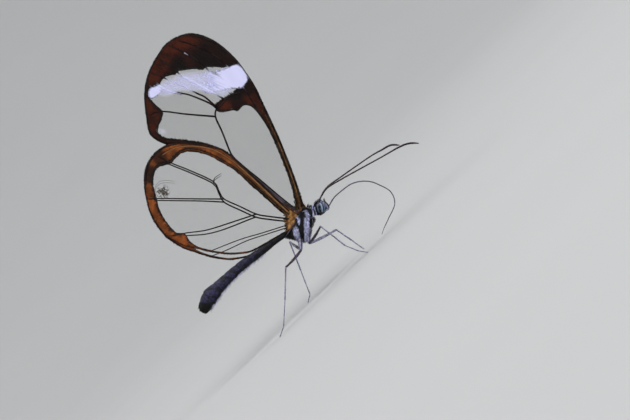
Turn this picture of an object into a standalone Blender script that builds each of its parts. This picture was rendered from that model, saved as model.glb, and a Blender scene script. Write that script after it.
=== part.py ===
"""A glasswing butterfly, Greta oto, at life size, standing with its wings closed over its back.

Sizes are in millimetres and become metres where a mesh is made. +X runs from tail to head, +Y to
the butterfly's left and +Z up. The floor is z = 0, and the origin is under the animal's middle.
Each part of the body is one closed solid, and neighbours keep a small gap, so that none touch.
"""

import math

import bmesh
import bpy
from mathutils import Matrix, Vector
from mathutils.geometry import delaunay_2d_cdt

MM = 0.001
GAP = 0.3
FORWARD = 0.42
SIDES = {"right": -1, "left": 1}

# Body forms: each station is x, z, half height, half width.
THORAX = (
    (1.45, 9.55, 0.45, 0.50),
    (1.00, 9.65, 0.95, 0.90),
    (0.20, 9.45, 1.35, 1.30),
    (-0.70, 8.95, 1.70, 1.50),
    (-1.60, 8.45, 1.70, 1.50),
    (-2.40, 8.40, 1.30, 1.25),
    (-3.00, 8.65, 0.85, 0.85),
    (-3.35, 8.95, 0.40, 0.40),
)
HEAD = (
    (1.75, 8.85, 0.40, 0.40),
    (2.00, 8.85, 0.80, 0.55),
    (2.50, 8.85, 0.98, 0.60),
    (3.00, 8.85, 0.92, 0.58),
    (3.35, 8.85, 0.60, 0.45),
    (3.50, 8.85, 0.25, 0.20),
)
ABDOMEN = (
    (-2.80, 9.30, 0.42, 0.42),
    (-3.60, 9.52, 0.40, 0.42),
    (-5.40, 9.93, 0.56, 0.56),
    (-7.90, 10.20, 0.66, 0.66),
    (-10.10, 10.50, 0.74, 0.72),
    (-12.50, 10.68, 0.80, 0.76),
    (-15.00, 10.68, 0.95, 0.85),
    (-17.00, 10.55, 1.26, 1.00),
    (-18.15, 10.35, 1.06, 0.90),
    (-18.90, 10.13, 0.77, 0.65),
    (-19.40, 10.10, 0.40, 0.35),
)
SEGMENTS = 8
SEGMENT_WAIST = 0.07
EYE_CENTRE = (2.60, 0.80, 8.80)
EYE_RADII = (0.62, 0.45, 0.66)

# Wing outlines and veins: points are x, z in side view, the outline from its hinge up the costa.
WING_THICK = 0.5
VEIN_RISE = 0.18
VEIN_HALF_WIDTH = 0.3
RIM_WIDTH = 0.55
RIM_RISE = 0.1
FOREWING = {
    "outline": (
        (0.65, 10.2), (2.15, 13.5), (3.5, 16.45), (6.25, 23.45), (7.8, 28.65), (8.45, 32.7),
        (8.0, 36.1), (6.3, 38.95), (3.45, 40.1), (1.2, 39.85), (-1.75, 38.85), (-4.3, 36.95),
        (-6.9, 33.55), (-7.4, 32.0), (-6.6, 29.9), (-4.75, 28.2), (-2.0, 24.2), (-1.35, 17.5),
        (-0.9, 13.5), (-0.2, 10.2),
    ),
    "veins": (
        ((0.75, 11.2), (0.4, 16.7), (-0.95, 23.15), (0.05, 25.9), (0.9, 28.2), (1.8, 28.9)),
        ((0.9, 28.2), (-1.75, 31.15), (-5.6, 34.6)),
        ((1.8, 28.9), (1.4, 30.6), (0.3, 32.9), (-2.3, 35.9)),
        ((1.9, 29.0), (1.7, 31.15), (-0.9, 38.3)),
        ((3.4, 29.1), (3.1, 30.4), (2.7, 35.0), (2.9, 39.2)),
        ((1.8, 28.9), (3.4, 29.1), (5.5, 28.6)),
        ((1.5, 12.5), (5.3, 22.6), (7.3, 31.5), (5.8, 38.0)),
    ),
    "hinge": (0.4, 10.6),
    "closed_y": 0.15,
    "flare": 0.35,
    "flare_reach": 1.8,
    "lag": {"right": (0.0, 0.0), "left": (0.0, 0.0)},
}
HINDWING = {
    "outline": (
        (-0.5, 11.0), (-0.95, 13.6), (-1.0, 15.9), (-1.4, 22.95), (-2.25, 25.1), (-4.75, 28.45),
        (-7.6, 30.15), (-10.7, 29.85), (-13.05, 27.9), (-15.05, 24.5), (-15.6, 21.5),
        (-15.1, 18.5), (-13.5, 15.0), (-11.8, 13.1), (-9.7, 11.7), (-6.4, 10.95), (-3.6, 10.3),
        (-1.6, 8.9),
    ),
    "veins": (
        ((-1.6, 10.9), (-4.55, 14.4), (-6.3, 19.0), (-5.7, 21.85), (-8.2, 27.9), (-8.8, 29.4)),
        ((-6.3, 19.0), (-12.95, 25.5), (-14.0, 26.3)),
        ((-4.55, 14.4), (-11.0, 17.6), (-13.5, 19.35), (-14.9, 20.2)),
        ((-2.9, 10.7), (-5.8, 12.0), (-12.5, 14.9)),
        ((-5.7, 21.85), (-4.0, 21.85)),
    ),
    "hinge": (-1.2, 10.2),
    "closed_y": 1.05,
    "flare": -0.35,
    "flare_reach": 2.0,
    "lag": {"right": (0.0, 0.0), "left": (-0.1, -0.4)},
}

# Legs: joints are x, distance from the middle plane, z, from the coxa in the body to the toe.
FOOT_RADIUS = 0.28
FOOT_Z = 0.15
LEG_RADII = (0.42, 0.36, 0.32, 0.27, 0.25, FOOT_RADIUS)
LEGS = {
    "hindleg_right": (
        (-2.6, 0.45, 7.7), (-3.4, 0.8, 6.45), (-6.9, 4.2, 6.35), (-10.2, 5.2, 3.2),
        (-12.9, 5.9, 0.75), (-14.15, 6.2, FOOT_Z),
    ),
    "hindleg_left": (
        (-2.6, 0.45, 7.7), (-3.35, 0.8, 6.5), (-3.4, 4.8, 8.2), (-5.0, 5.6, 4.2),
        (-6.4, 6.2, 0.75), (-7.3, 6.5, FOOT_Z),
    ),
    "midleg_right": (
        (-1.2, 0.45, 7.6), (-2.0, 0.8, 6.3), (0.5, 4.4, 7.1), (1.05, 5.3, 2.85),
        (1.8, 5.9, 1.1), (2.5, 6.3, FOOT_Z),
    ),
    "midleg_left": (
        (-1.2, 0.45, 7.6), (-1.9, 0.8, 6.25), (2.45, 3.6, 4.9), (3.15, 5.2, 2.2),
        (3.5, 6.0, 0.6), (3.65, 6.5, FOOT_Z),
    ),
}
FORELEG = ((0.7, 0.5, 8.9), (1.35, 0.75, 8.15), (0.5, 0.85, 7.35), (-0.2, 0.8, 6.95))
FORELEG_RADII = (0.28, 0.26, 0.25, 0.2)

# Feelers and mouthparts: routes are x, y, z, and each ends in a thin tip.
ANTENNAE = {
    "antenna_right": (
        (3.0, -0.35, 9.3), (3.6, -0.4, 9.8), (5.15, -1.0, 10.15), (7.2, -1.8, 9.75),
        (9.7, -2.6, 9.1), (13.2, -3.4, 8.15), (16.3, -4.0, 7.35), (17.6, -4.3, 6.7),
        (18.4, -4.5, 5.9),
    ),
    "antenna_left": (
        (3.0, 0.35, 9.3), (3.7, 0.4, 9.8), (5.45, 1.0, 10.2), (8.0, 1.9, 9.85),
        (10.8, 2.9, 9.4), (13.4, 3.8, 8.95), (15.1, 4.4, 8.5), (16.5, 4.8, 8.1),
        (17.5, 5.3, 7.2),
    ),
}
ANTENNA_RADII = (0.27, 0.25, 0.25, 0.27, 0.15)
PROBOSCIS = (
    (3.0, 0.0, 8.3), (3.6, 0.0, 8.15), (5.1, 0.0, 8.5), (6.8, 0.0, 8.42), (8.1, 0.0, 8.2),
    (9.25, 0.0, 7.6), (10.2, 0.0, 6.7), (10.8, 0.1, 5.6), (11.4, 0.2, 3.6), (10.65, 0.3, 1.95),
    (8.6, 0.5, 1.05), (7.2, 0.6, 0.5), (6.4, 0.65, 0.12),
)
PROBOSCIS_RADII = (0.22, 0.25, 0.25, 0.22, 0.18)
PALP = (
    (2.8, 0.42, 8.2), (3.4, 0.52, 7.7), (3.87, 0.58, 7.95), (4.06, 0.60, 8.5), (4.0, 0.58, 9.05),
)
PALP_RADII = (0.24, 0.25, 0.25, 0.24, 0.12)

# Colours of the plain solids, linear red, green and blue.
DARK_BROWN = (0.035, 0.018, 0.016)
RUST = (0.16, 0.05, 0.015)
SLATE = (0.05, 0.055, 0.09)
LAVENDER = (0.4, 0.4, 0.55)
EYE_BLUE = (0.06, 0.07, 0.12)


def clear_scene():
    for obj in list(bpy.data.objects):
        bpy.data.objects.remove(obj, do_unlink=True)


def make_material(name, colour, roughness):
    material = bpy.data.materials.new(name)
    material.use_nodes = True
    shader = material.node_tree.nodes["Principled BSDF"]
    shader.inputs["Base Color"].default_value = (*colour, 1.0)
    shader.inputs["Roughness"].default_value = roughness
    return material


def blend(before, start, end, after, t):
    """One value of a smooth curve between start and end, with its neighbours before and after."""
    bend = 2 * before - 5 * start + 4 * end - after
    twist = -before + 3 * start - 3 * end + after
    return 0.5 * (2 * start + (end - before) * t + bend * t * t + twist * t * t * t)


def smooth(points, step, closed=False):
    """Points about a step apart on a smooth curve through the given ones, of any dimension."""
    count = len(points)
    spans = count if closed else count - 1
    found = []
    for i in range(spans):
        if closed:
            near = [points[(i + k) % count] for k in (-1, 0, 1, 2)]
        else:
            near = [points[min(max(i + k, 0), count - 1)] for k in (-1, 0, 1, 2)]
        pieces = max(1, round(math.dist(near[1], near[2]) / step))
        for k in range(pieces):
            found.append(tuple(blend(*values, k / pieces) for values in zip(*near)))
    if not closed:
        found.append(tuple(points[-1]))
    return found


def spread(values, count):
    """The values stretched evenly over a count of places, with straight runs between."""
    last = len(values) - 1
    found = []
    for k in range(count):
        place = k / (count - 1) * last
        low = min(int(place), last - 1)
        found.append(values[low] + (values[low + 1] - values[low]) * (place - low))
    return found


def object_of(mesh, name, collection):
    obj = bpy.data.objects.new(name, mesh)
    collection.objects.link(obj)
    return obj


def object_from_bmesh(bm, name, collection):
    """An object of a bmesh drawn in millimetres."""
    bmesh.ops.transform(bm, matrix=Matrix.Scale(MM, 4), verts=bm.verts)
    bmesh.ops.recalc_face_normals(bm, faces=bm.faces)
    mesh = bpy.data.meshes.new(name)
    bm.to_mesh(mesh)
    bm.free()
    return object_of(mesh, name, collection)


def evaluated_mesh(obj):
    """The object's mesh with its modifiers or its curve turned into faces."""
    graph = bpy.context.evaluated_depsgraph_get()
    graph.update()
    return bpy.data.meshes.new_from_object(obj.evaluated_get(graph))


def keep_largest(mesh):
    """Keeps only the largest closed surface of a mesh."""
    bm = bmesh.new()
    bm.from_mesh(mesh)
    left = set(bm.verts)
    islands = []
    while left:
        island = set()
        edge = [left.pop()]
        while edge:
            vert = edge.pop()
            island.add(vert)
            for link in vert.link_edges:
                other = link.other_vert(vert)
                if other in left:
                    left.discard(other)
                    edge.append(other)
        islands.append(island)
    islands.sort(key=island_size)
    for island in islands[:-1]:
        bmesh.ops.delete(bm, geom=list(island), context="VERTS")
    bm.to_mesh(mesh)
    bm.free()


def island_size(island):
    """The product of an island's sides, which is largest for the main surface."""
    spans = [max(v.co[i] for v in island) - min(v.co[i] for v in island) for i in range(3)]
    return math.prod(spans)


def apply_modifiers(obj):
    mesh = evaluated_mesh(obj)
    mesh.name = obj.name
    obj.modifiers.clear()
    old = obj.data
    obj.data = mesh
    bpy.data.meshes.remove(old)


def cut_away(obj, *cutters):
    for cutter in cutters:
        modifier = obj.modifiers.new("cut", "BOOLEAN")
        modifier.operation = "DIFFERENCE"
        modifier.solver = "EXACT"
        modifier.object = cutter
    apply_modifiers(obj)
    keep_largest(obj.data)


def join(pieces, name, collection):
    """One closed solid of closed pieces that overlap, by one union on a collection."""
    group = bpy.data.collections.new("pieces of " + name)
    for piece in pieces[1:]:
        collection.objects.unlink(piece)
        group.objects.link(piece)
    whole = pieces[0]
    whole.name = name
    union = whole.modifiers.new("union", "BOOLEAN")
    union.operation = "UNION"
    union.operand_type = "COLLECTION"
    union.collection = group
    union.solver = "EXACT"
    bpy.context.scene.collection.children.link(group)
    apply_modifiers(whole)
    for piece in list(group.objects):
        bpy.data.objects.remove(piece, do_unlink=True)
    bpy.data.collections.remove(group)
    keep_largest(whole.data)
    return whole


def segmented(stations, count, waist):
    """Stations of a body that swells in each segment and narrows where two segments meet."""
    stations = smooth(stations, 0.4)
    first, last = stations[0][0], stations[-1][0]
    found = []
    for x, z, high, wide in stations:
        phase = (x - first) / (last - first) * count % 1.0
        size = 1.0 - waist * (1.0 - math.sin(math.pi * phase))
        found.append((x, z, high * size, wide * size))
    return found


def loft(stations, sides, name, collection, extra=0.0):
    """A closed body of elliptical rings along X, grown on all sides by extra."""
    bm = bmesh.new()
    ends = (stations[0][0], stations[-1][0])
    forward = math.copysign(1.0, ends[1] - ends[0])
    rings = []
    for x, z, high, wide in smooth(stations, 0.8):
        if x == ends[0]:
            x -= extra * forward
        if x == ends[1]:
            x += extra * forward
        ring = []
        for k in range(sides):
            turn = 2 * math.pi * k / sides
            y = (wide + extra) * math.sin(turn)
            ring.append(bm.verts.new((x, y, z + (high + extra) * math.cos(turn))))
        rings.append(ring)
    for ring, following in zip(rings, rings[1:]):
        for k in range(sides):
            after = (k + 1) % sides
            bm.faces.new((ring[k], ring[after], following[after], following[k]))
    bm.faces.new(rings[0])
    bm.faces.new(rings[-1])
    return object_from_bmesh(bm, name, collection)


def ball(centre, radii, name, collection, segments=12, rings=8):
    bm = bmesh.new()
    bmesh.ops.create_uvsphere(bm, u_segments=segments, v_segments=rings, radius=1.0)
    matrix = Matrix.Translation(centre) @ Matrix.Diagonal((*radii, 1.0))
    bmesh.ops.transform(bm, matrix=matrix, verts=bm.verts)
    return object_from_bmesh(bm, name, collection)


def cone(start, end, start_radius, end_radius, name, collection, sides=8):
    """A closed tapered cylinder between two points."""
    start = Vector(start)
    along = Vector(end) - start
    bm = bmesh.new()
    bmesh.ops.create_cone(
        bm, cap_ends=True, segments=sides, radius1=start_radius, radius2=end_radius,
        depth=along.length,
    )
    turn = along.to_track_quat("Z", "Y").to_matrix().to_4x4()
    matrix = Matrix.Translation(start + along / 2) @ turn
    bmesh.ops.transform(bm, matrix=matrix, verts=bm.verts)
    return object_from_bmesh(bm, name, collection)


def tube(route, radii, name, collection):
    """A closed round tube along a smooth route, its radii spread evenly over it."""
    points = smooth(route, 0.9)
    curve = bpy.data.curves.new(name, "CURVE")
    curve.dimensions = "3D"
    curve.bevel_depth = MM
    curve.bevel_resolution = 2
    curve.use_fill_caps = True
    spline = curve.splines.new("POLY")
    spline.points.add(len(points) - 1)
    for point, place, radius in zip(spline.points, points, spread(radii, len(points))):
        point.co = (*(MM * value for value in place), 1.0)
        point.radius = radius
    obj = object_of(curve, name, collection)
    mesh = evaluated_mesh(obj)
    bpy.data.objects.remove(obj, do_unlink=True)
    bm = bmesh.new()
    bm.from_mesh(mesh)
    bmesh.ops.remove_doubles(bm, verts=bm.verts, dist=0.001 * MM)
    bmesh.ops.recalc_face_normals(bm, faces=bm.faces)
    bm.to_mesh(mesh)
    bm.free()
    mesh.name = name
    return object_of(mesh, name, collection)


def cut_at_floor(obj):
    """Leaves a small flat where a foot or a mouthpart meets the floor."""
    bm = bmesh.new()
    bm.from_mesh(obj.data)
    bmesh.ops.bisect_plane(
        bm, geom=[*bm.verts, *bm.edges, *bm.faces], plane_co=(0, 0, 0), plane_no=(0, 0, 1),
        clear_inner=True,
    )
    bmesh.ops.holes_fill(bm, edges=[edge for edge in bm.edges if edge.is_boundary])
    bmesh.ops.recalc_face_normals(bm, faces=bm.faces)
    bm.to_mesh(obj.data)
    bm.free()


def limb(joints, radii, name, collection):
    """A jointed leg: tapered segments with a ball at each joint, made one solid."""
    pieces = []
    for i, (start, end) in enumerate(zip(joints, joints[1:])):
        pieces.append(cone(start, end, radii[i], radii[i + 1], name, collection))
        size = radii[i + 1] * 1.06
        pieces.append(ball(end, (size, size, size), name, collection, 8, 6))
    return join(pieces, name, collection)


def inside(point, outline):
    """Whether a point of the side view lies inside a closed outline."""
    x, z = point
    found = False
    for (x0, z0), (x1, z1) in zip(outline, outline[1:] + outline[:1]):
        if (z0 > z) != (z1 > z) and x < x0 + (x1 - x0) * (z - z0) / (z1 - z0):
            found = not found
    return found


def distance_to_line(point, line):
    best = math.inf
    point = Vector(point)
    for start, end in zip(line, line[1:]):
        start = Vector(start)
        along = Vector(end) - start
        share = (point - start).dot(along) / along.length_squared
        share = min(max(share, 0.0), 1.0)
        best = min(best, (point - start - along * share).length)
    return best


def offset_line(line, offset, closed=False):
    """The line moved sideways by offset, to its left where offset is positive."""
    count = len(line)
    moved = []
    for i in range(count):
        if closed:
            before, after = line[i - 1], line[(i + 1) % count]
        else:
            before, after = line[max(i - 1, 0)], line[min(i + 1, count - 1)]
        along = (Vector(after) - Vector(before)).normalized()
        moved.append((line[i][0] - along.y * offset, line[i][1] + along.x * offset))
    return moved


def wing_triangles(outline, veins):
    """The wing's side view split into triangles that follow its rim and its veins."""
    points = []
    edges = []

    def add_line(line, closed=False):
        first = len(points)
        points.extend(line)
        edges.extend((first + k, first + k + 1) for k in range(len(line) - 1))
        if closed:
            edges.append((first + len(line) - 1, first))

    add_line(outline, closed=True)
    rim = offset_line(outline, -RIM_WIDTH, closed=True)
    add_line(rim, closed=True)
    for vein in veins:
        for offset in (-VEIN_HALF_WIDTH, 0.0, VEIN_HALF_WIDTH):
            line = [p for p in offset_line(vein, offset) if inside(p, rim)]
            add_line(line)
    lines = [outline + outline[:1], *veins]
    step = 2.2
    row = 0
    z = min(p[1] for p in outline)
    while z < max(p[1] for p in outline):
        x = min(p[0] for p in outline) + (row % 2) * step / 2
        while x < max(p[0] for p in outline):
            if inside((x, z), outline) and min(distance_to_line((x, z), q) for q in lines) > 1.1:
                points.append((x, z))
            x += step
        z += step * 0.87
        row += 1
    vectors = [Vector(p) for p in points]
    found, _, faces, _, _, _ = delaunay_2d_cdt(vectors, edges, [], 0, 1e-4)
    found = [(v.x, v.y) for v in found]
    kept = []
    for face in faces:
        middle = tuple(sum(found[k][i] for k in face) / len(face) for i in (0, 1))
        if inside(middle, outline):
            kept.append(face)
    return found, kept


def rise_at(point, outline, veins):
    """How far the wing's outer face rises at a point, from 0 on the bare membrane."""
    rim = 1.0 - distance_to_line(point, outline + outline[:1]) / RIM_WIDTH
    vein = 1.0 - min(distance_to_line(point, vein) for vein in veins) / VEIN_HALF_WIDTH
    return max(RIM_RISE * rim, VEIN_RISE * vein, 0.0)


def make_wing(name, wing, side, thorax_cutter, collection):
    """A wing plate whose outer face carries its rim and veins, cut clear of the thorax."""
    lag_x, lag_z = wing["lag"][side]
    outline = smooth(wing["outline"], 1.3, closed=True)
    veins = [smooth(vein, 1.6) for vein in wing["veins"]]
    points, faces = wing_triangles(outline, veins)
    turn = SIDES[side]
    bm = bmesh.new()
    for x, z in points:
        reach = math.dist((x, z), wing["hinge"])
        y = wing["closed_y"] + wing["flare"] * math.exp(-reach / wing["flare_reach"])
        bm.verts.new((x + lag_x, turn * y, z + lag_z))
    bm.verts.ensure_lookup_table()
    for face in faces:
        bm.faces.new([bm.verts[k] for k in face])
    loose = [v for v in bm.verts if not v.link_faces]
    shapes = [(v.co.x - lag_x, v.co.z - lag_z) for v in bm.verts if v.link_faces]
    bmesh.ops.delete(bm, geom=loose, context="VERTS")
    obj = object_from_bmesh(bm, name, collection)
    if obj.data.polygons[0].normal.y * turn < 0:
        obj.data.flip_normals()
    most = WING_THICK + VEIN_RISE
    group = obj.vertex_groups.new(name="thickness")
    for k, shape in enumerate(shapes):
        group.add([k], (WING_THICK + rise_at(shape, outline, veins)) / most, "REPLACE")
    solidify = obj.modifiers.new("plate", "SOLIDIFY")
    solidify.thickness = most * MM
    solidify.offset = 1.0
    solidify.vertex_group = group.name
    cut_away(obj, thorax_cutter)
    obj.vertex_groups.clear()
    return obj


def set_origin(obj, place):
    """Puts the object's origin at a place of its root, without moving its shape."""
    place = Vector(place) * MM
    obj.data.transform(Matrix.Translation(-place))
    obj.location = place


def finish(obj, material, root_place, parent):
    obj.data.materials.clear()
    obj.data.materials.append(material)
    set_origin(obj, root_place)
    obj.parent = parent


def main():
    clear_scene()
    scene = bpy.context.scene
    body = bpy.data.collections.new("glasswing butterfly")
    cutters = bpy.data.collections.new("cutters")
    scene.collection.children.link(body)
    scene.collection.children.link(cutters)
    dark = make_material("dark brown legs", DARK_BROWN, 0.5)
    rust = make_material("rust wing", RUST, 0.6)
    slate = make_material("slate scales", SLATE, 0.6)
    lavender = make_material("lavender scales", LAVENDER, 0.6)
    glossy = make_material("eye", EYE_BLUE, 0.2)
    whole = bpy.data.objects.new("butterfly", None)
    whole.location = (FORWARD * MM, 0, 0)
    body.objects.link(whole)

    thorax_cutter = loft(THORAX, 24, "around thorax", cutters, extra=GAP)
    head_cutter = loft(HEAD, 20, "around head", cutters, extra=GAP)
    for cutter in (thorax_cutter, head_cutter):
        cutter.hide_render = True

    thorax = loft(THORAX, 24, "thorax", body)
    finish(thorax, lavender, (-1.0, 0, 9.0), whole)
    head = loft(HEAD, 20, "head", body)
    finish(head, lavender, (1.75, 0, 8.85), whole)
    abdomen = loft(segmented(ABDOMEN, SEGMENTS, SEGMENT_WAIST), 18, "abdomen", body)
    cut_away(abdomen, thorax_cutter)
    finish(abdomen, slate, (-3.35, 0, 9.4), whole)

    for side, turn in SIDES.items():
        x, y, z = EYE_CENTRE
        eye = ball((x, turn * y, z), EYE_RADII, "eye_" + side, body, 16, 10)
        cut_away(eye, head_cutter)
        finish(eye, glossy, (x, turn * y, z), whole)

        palp_route = [(x, turn * y, z) for x, y, z in PALP]
        palp = tube(palp_route, PALP_RADII, "palp_" + side, body)
        cut_away(palp, head_cutter)
        finish(palp, dark, palp_route[0], whole)

        foreleg_joints = [(x, turn * y, z) for x, y, z in FORELEG]
        foreleg = limb(foreleg_joints, FORELEG_RADII, "foreleg_" + side, body)
        cut_away(foreleg, thorax_cutter)
        finish(foreleg, dark, foreleg_joints[0], whole)

        for name, wing in (("forewing_", FOREWING), ("hindwing_", HINDWING)):
            hinge_x, hinge_z = wing["hinge"]
            plate = make_wing(name + side, wing, side, thorax_cutter, body)
            finish(plate, rust, (hinge_x, turn * wing["closed_y"], hinge_z), whole)

    for name, joints in LEGS.items():
        turn = SIDES[name.split("_")[1]]
        joints = [(x, turn * y, z) for x, y, z in joints]
        leg = limb(joints, LEG_RADII, name, body)
        cut_away(leg, thorax_cutter)
        cut_at_floor(leg)
        finish(leg, dark, joints[0], whole)

    for name, route in ANTENNAE.items():
        antenna = tube(route, ANTENNA_RADII, name, body)
        cut_away(antenna, head_cutter)
        finish(antenna, dark, route[0], whole)

    proboscis = tube(PROBOSCIS, PROBOSCIS_RADII, "proboscis", body)
    cut_away(proboscis, head_cutter)
    cut_at_floor(proboscis)
    finish(proboscis, dark, PROBOSCIS[0], whole)


main()
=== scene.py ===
"""The looks of the glasswing butterfly: wings, body, legs, feelers, scales and hair.

Shapes are drawn in millimetres in the butterfly's own frame, as part.py draws them, and are put
in their place in the model when a piece is finished. +X runs from tail to head, +Y to the
butterfly's left and +Z up. Wing patterns are drawn in side view, as x and z.
"""

import math

import bmesh
import bpy
import numpy as np
from mathutils import Matrix, Vector


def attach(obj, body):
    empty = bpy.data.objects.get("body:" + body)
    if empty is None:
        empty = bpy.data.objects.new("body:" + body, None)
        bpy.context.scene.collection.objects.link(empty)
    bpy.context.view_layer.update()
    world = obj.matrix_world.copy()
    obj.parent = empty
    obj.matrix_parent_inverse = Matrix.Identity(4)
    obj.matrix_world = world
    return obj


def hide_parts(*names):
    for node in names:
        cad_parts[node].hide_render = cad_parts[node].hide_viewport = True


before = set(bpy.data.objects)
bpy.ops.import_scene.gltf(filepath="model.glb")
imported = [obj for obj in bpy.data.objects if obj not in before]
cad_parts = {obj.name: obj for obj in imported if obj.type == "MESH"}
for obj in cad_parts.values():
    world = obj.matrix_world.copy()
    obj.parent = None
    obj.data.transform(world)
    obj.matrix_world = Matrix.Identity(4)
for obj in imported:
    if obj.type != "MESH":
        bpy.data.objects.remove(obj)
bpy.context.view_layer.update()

MM = 0.001
FORWARD = 0.42
IN_FRAME = Matrix.Translation((FORWARD * MM, 0.0, 0.0)) @ Matrix.Scale(MM, 4)
SIDES = {"right": -1, "left": 1}
RANDOM = np.random.default_rng(7)

# The camera stands at the butterfly's right, a little behind and above it, and is rolled to keep
# the photo's tilt.
CAMERA_TURN = 5.0
CAMERA_TILT = 2.0
CAMERA_ROLL = 43.8
CAMERA_DISTANCE = 400.0
CAMERA_TARGET = (1.9, 0.0, 9.1)
PICTURE_WIDTH = 88.2
SENSOR_WIDTH = 36.0

# The stage, in metres: a floor that bends up into a plain wall all round, and lights with their
# place, width and power.
FLOOR_RADIUS = 0.30
WALL_BEND = 0.9
WALL_HEIGHT = 1.4
BEND_STEPS = 18
FLOOR_SIDES = 96
FLOOR_GREY = (0.40, 0.42)
LIGHTS = {
    "window light": ((0.25, -0.45, 0.75), 0.55, 6.0),
    "sky light": ((-0.3, 0.35, 0.9), 0.7, 5.0),
    "side light": ((0.55, -0.35, 0.2), 0.35, 1.2),
}
LIGHT_TARGET = (0.0, 0.0, 0.02)
SKY_COLOUR = (0.9, 0.95, 1.0, 1.0)
SKY_STRENGTH = 0.55

# Wings, in side view. The outline runs from the hinge up the leading edge, and the window is the
# clear part. A vein is its radius at root and tip, its line and its finish where it has one.
# Gloomy and rusty patches are x, z and radius. Flare is how far the base bends outwards, or
# inwards where it is below 0.
SHEET_CELL = 0.24
SHEET_THICK = 0.03
SAG = 0.05
SAG_REACH = 0.9
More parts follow.
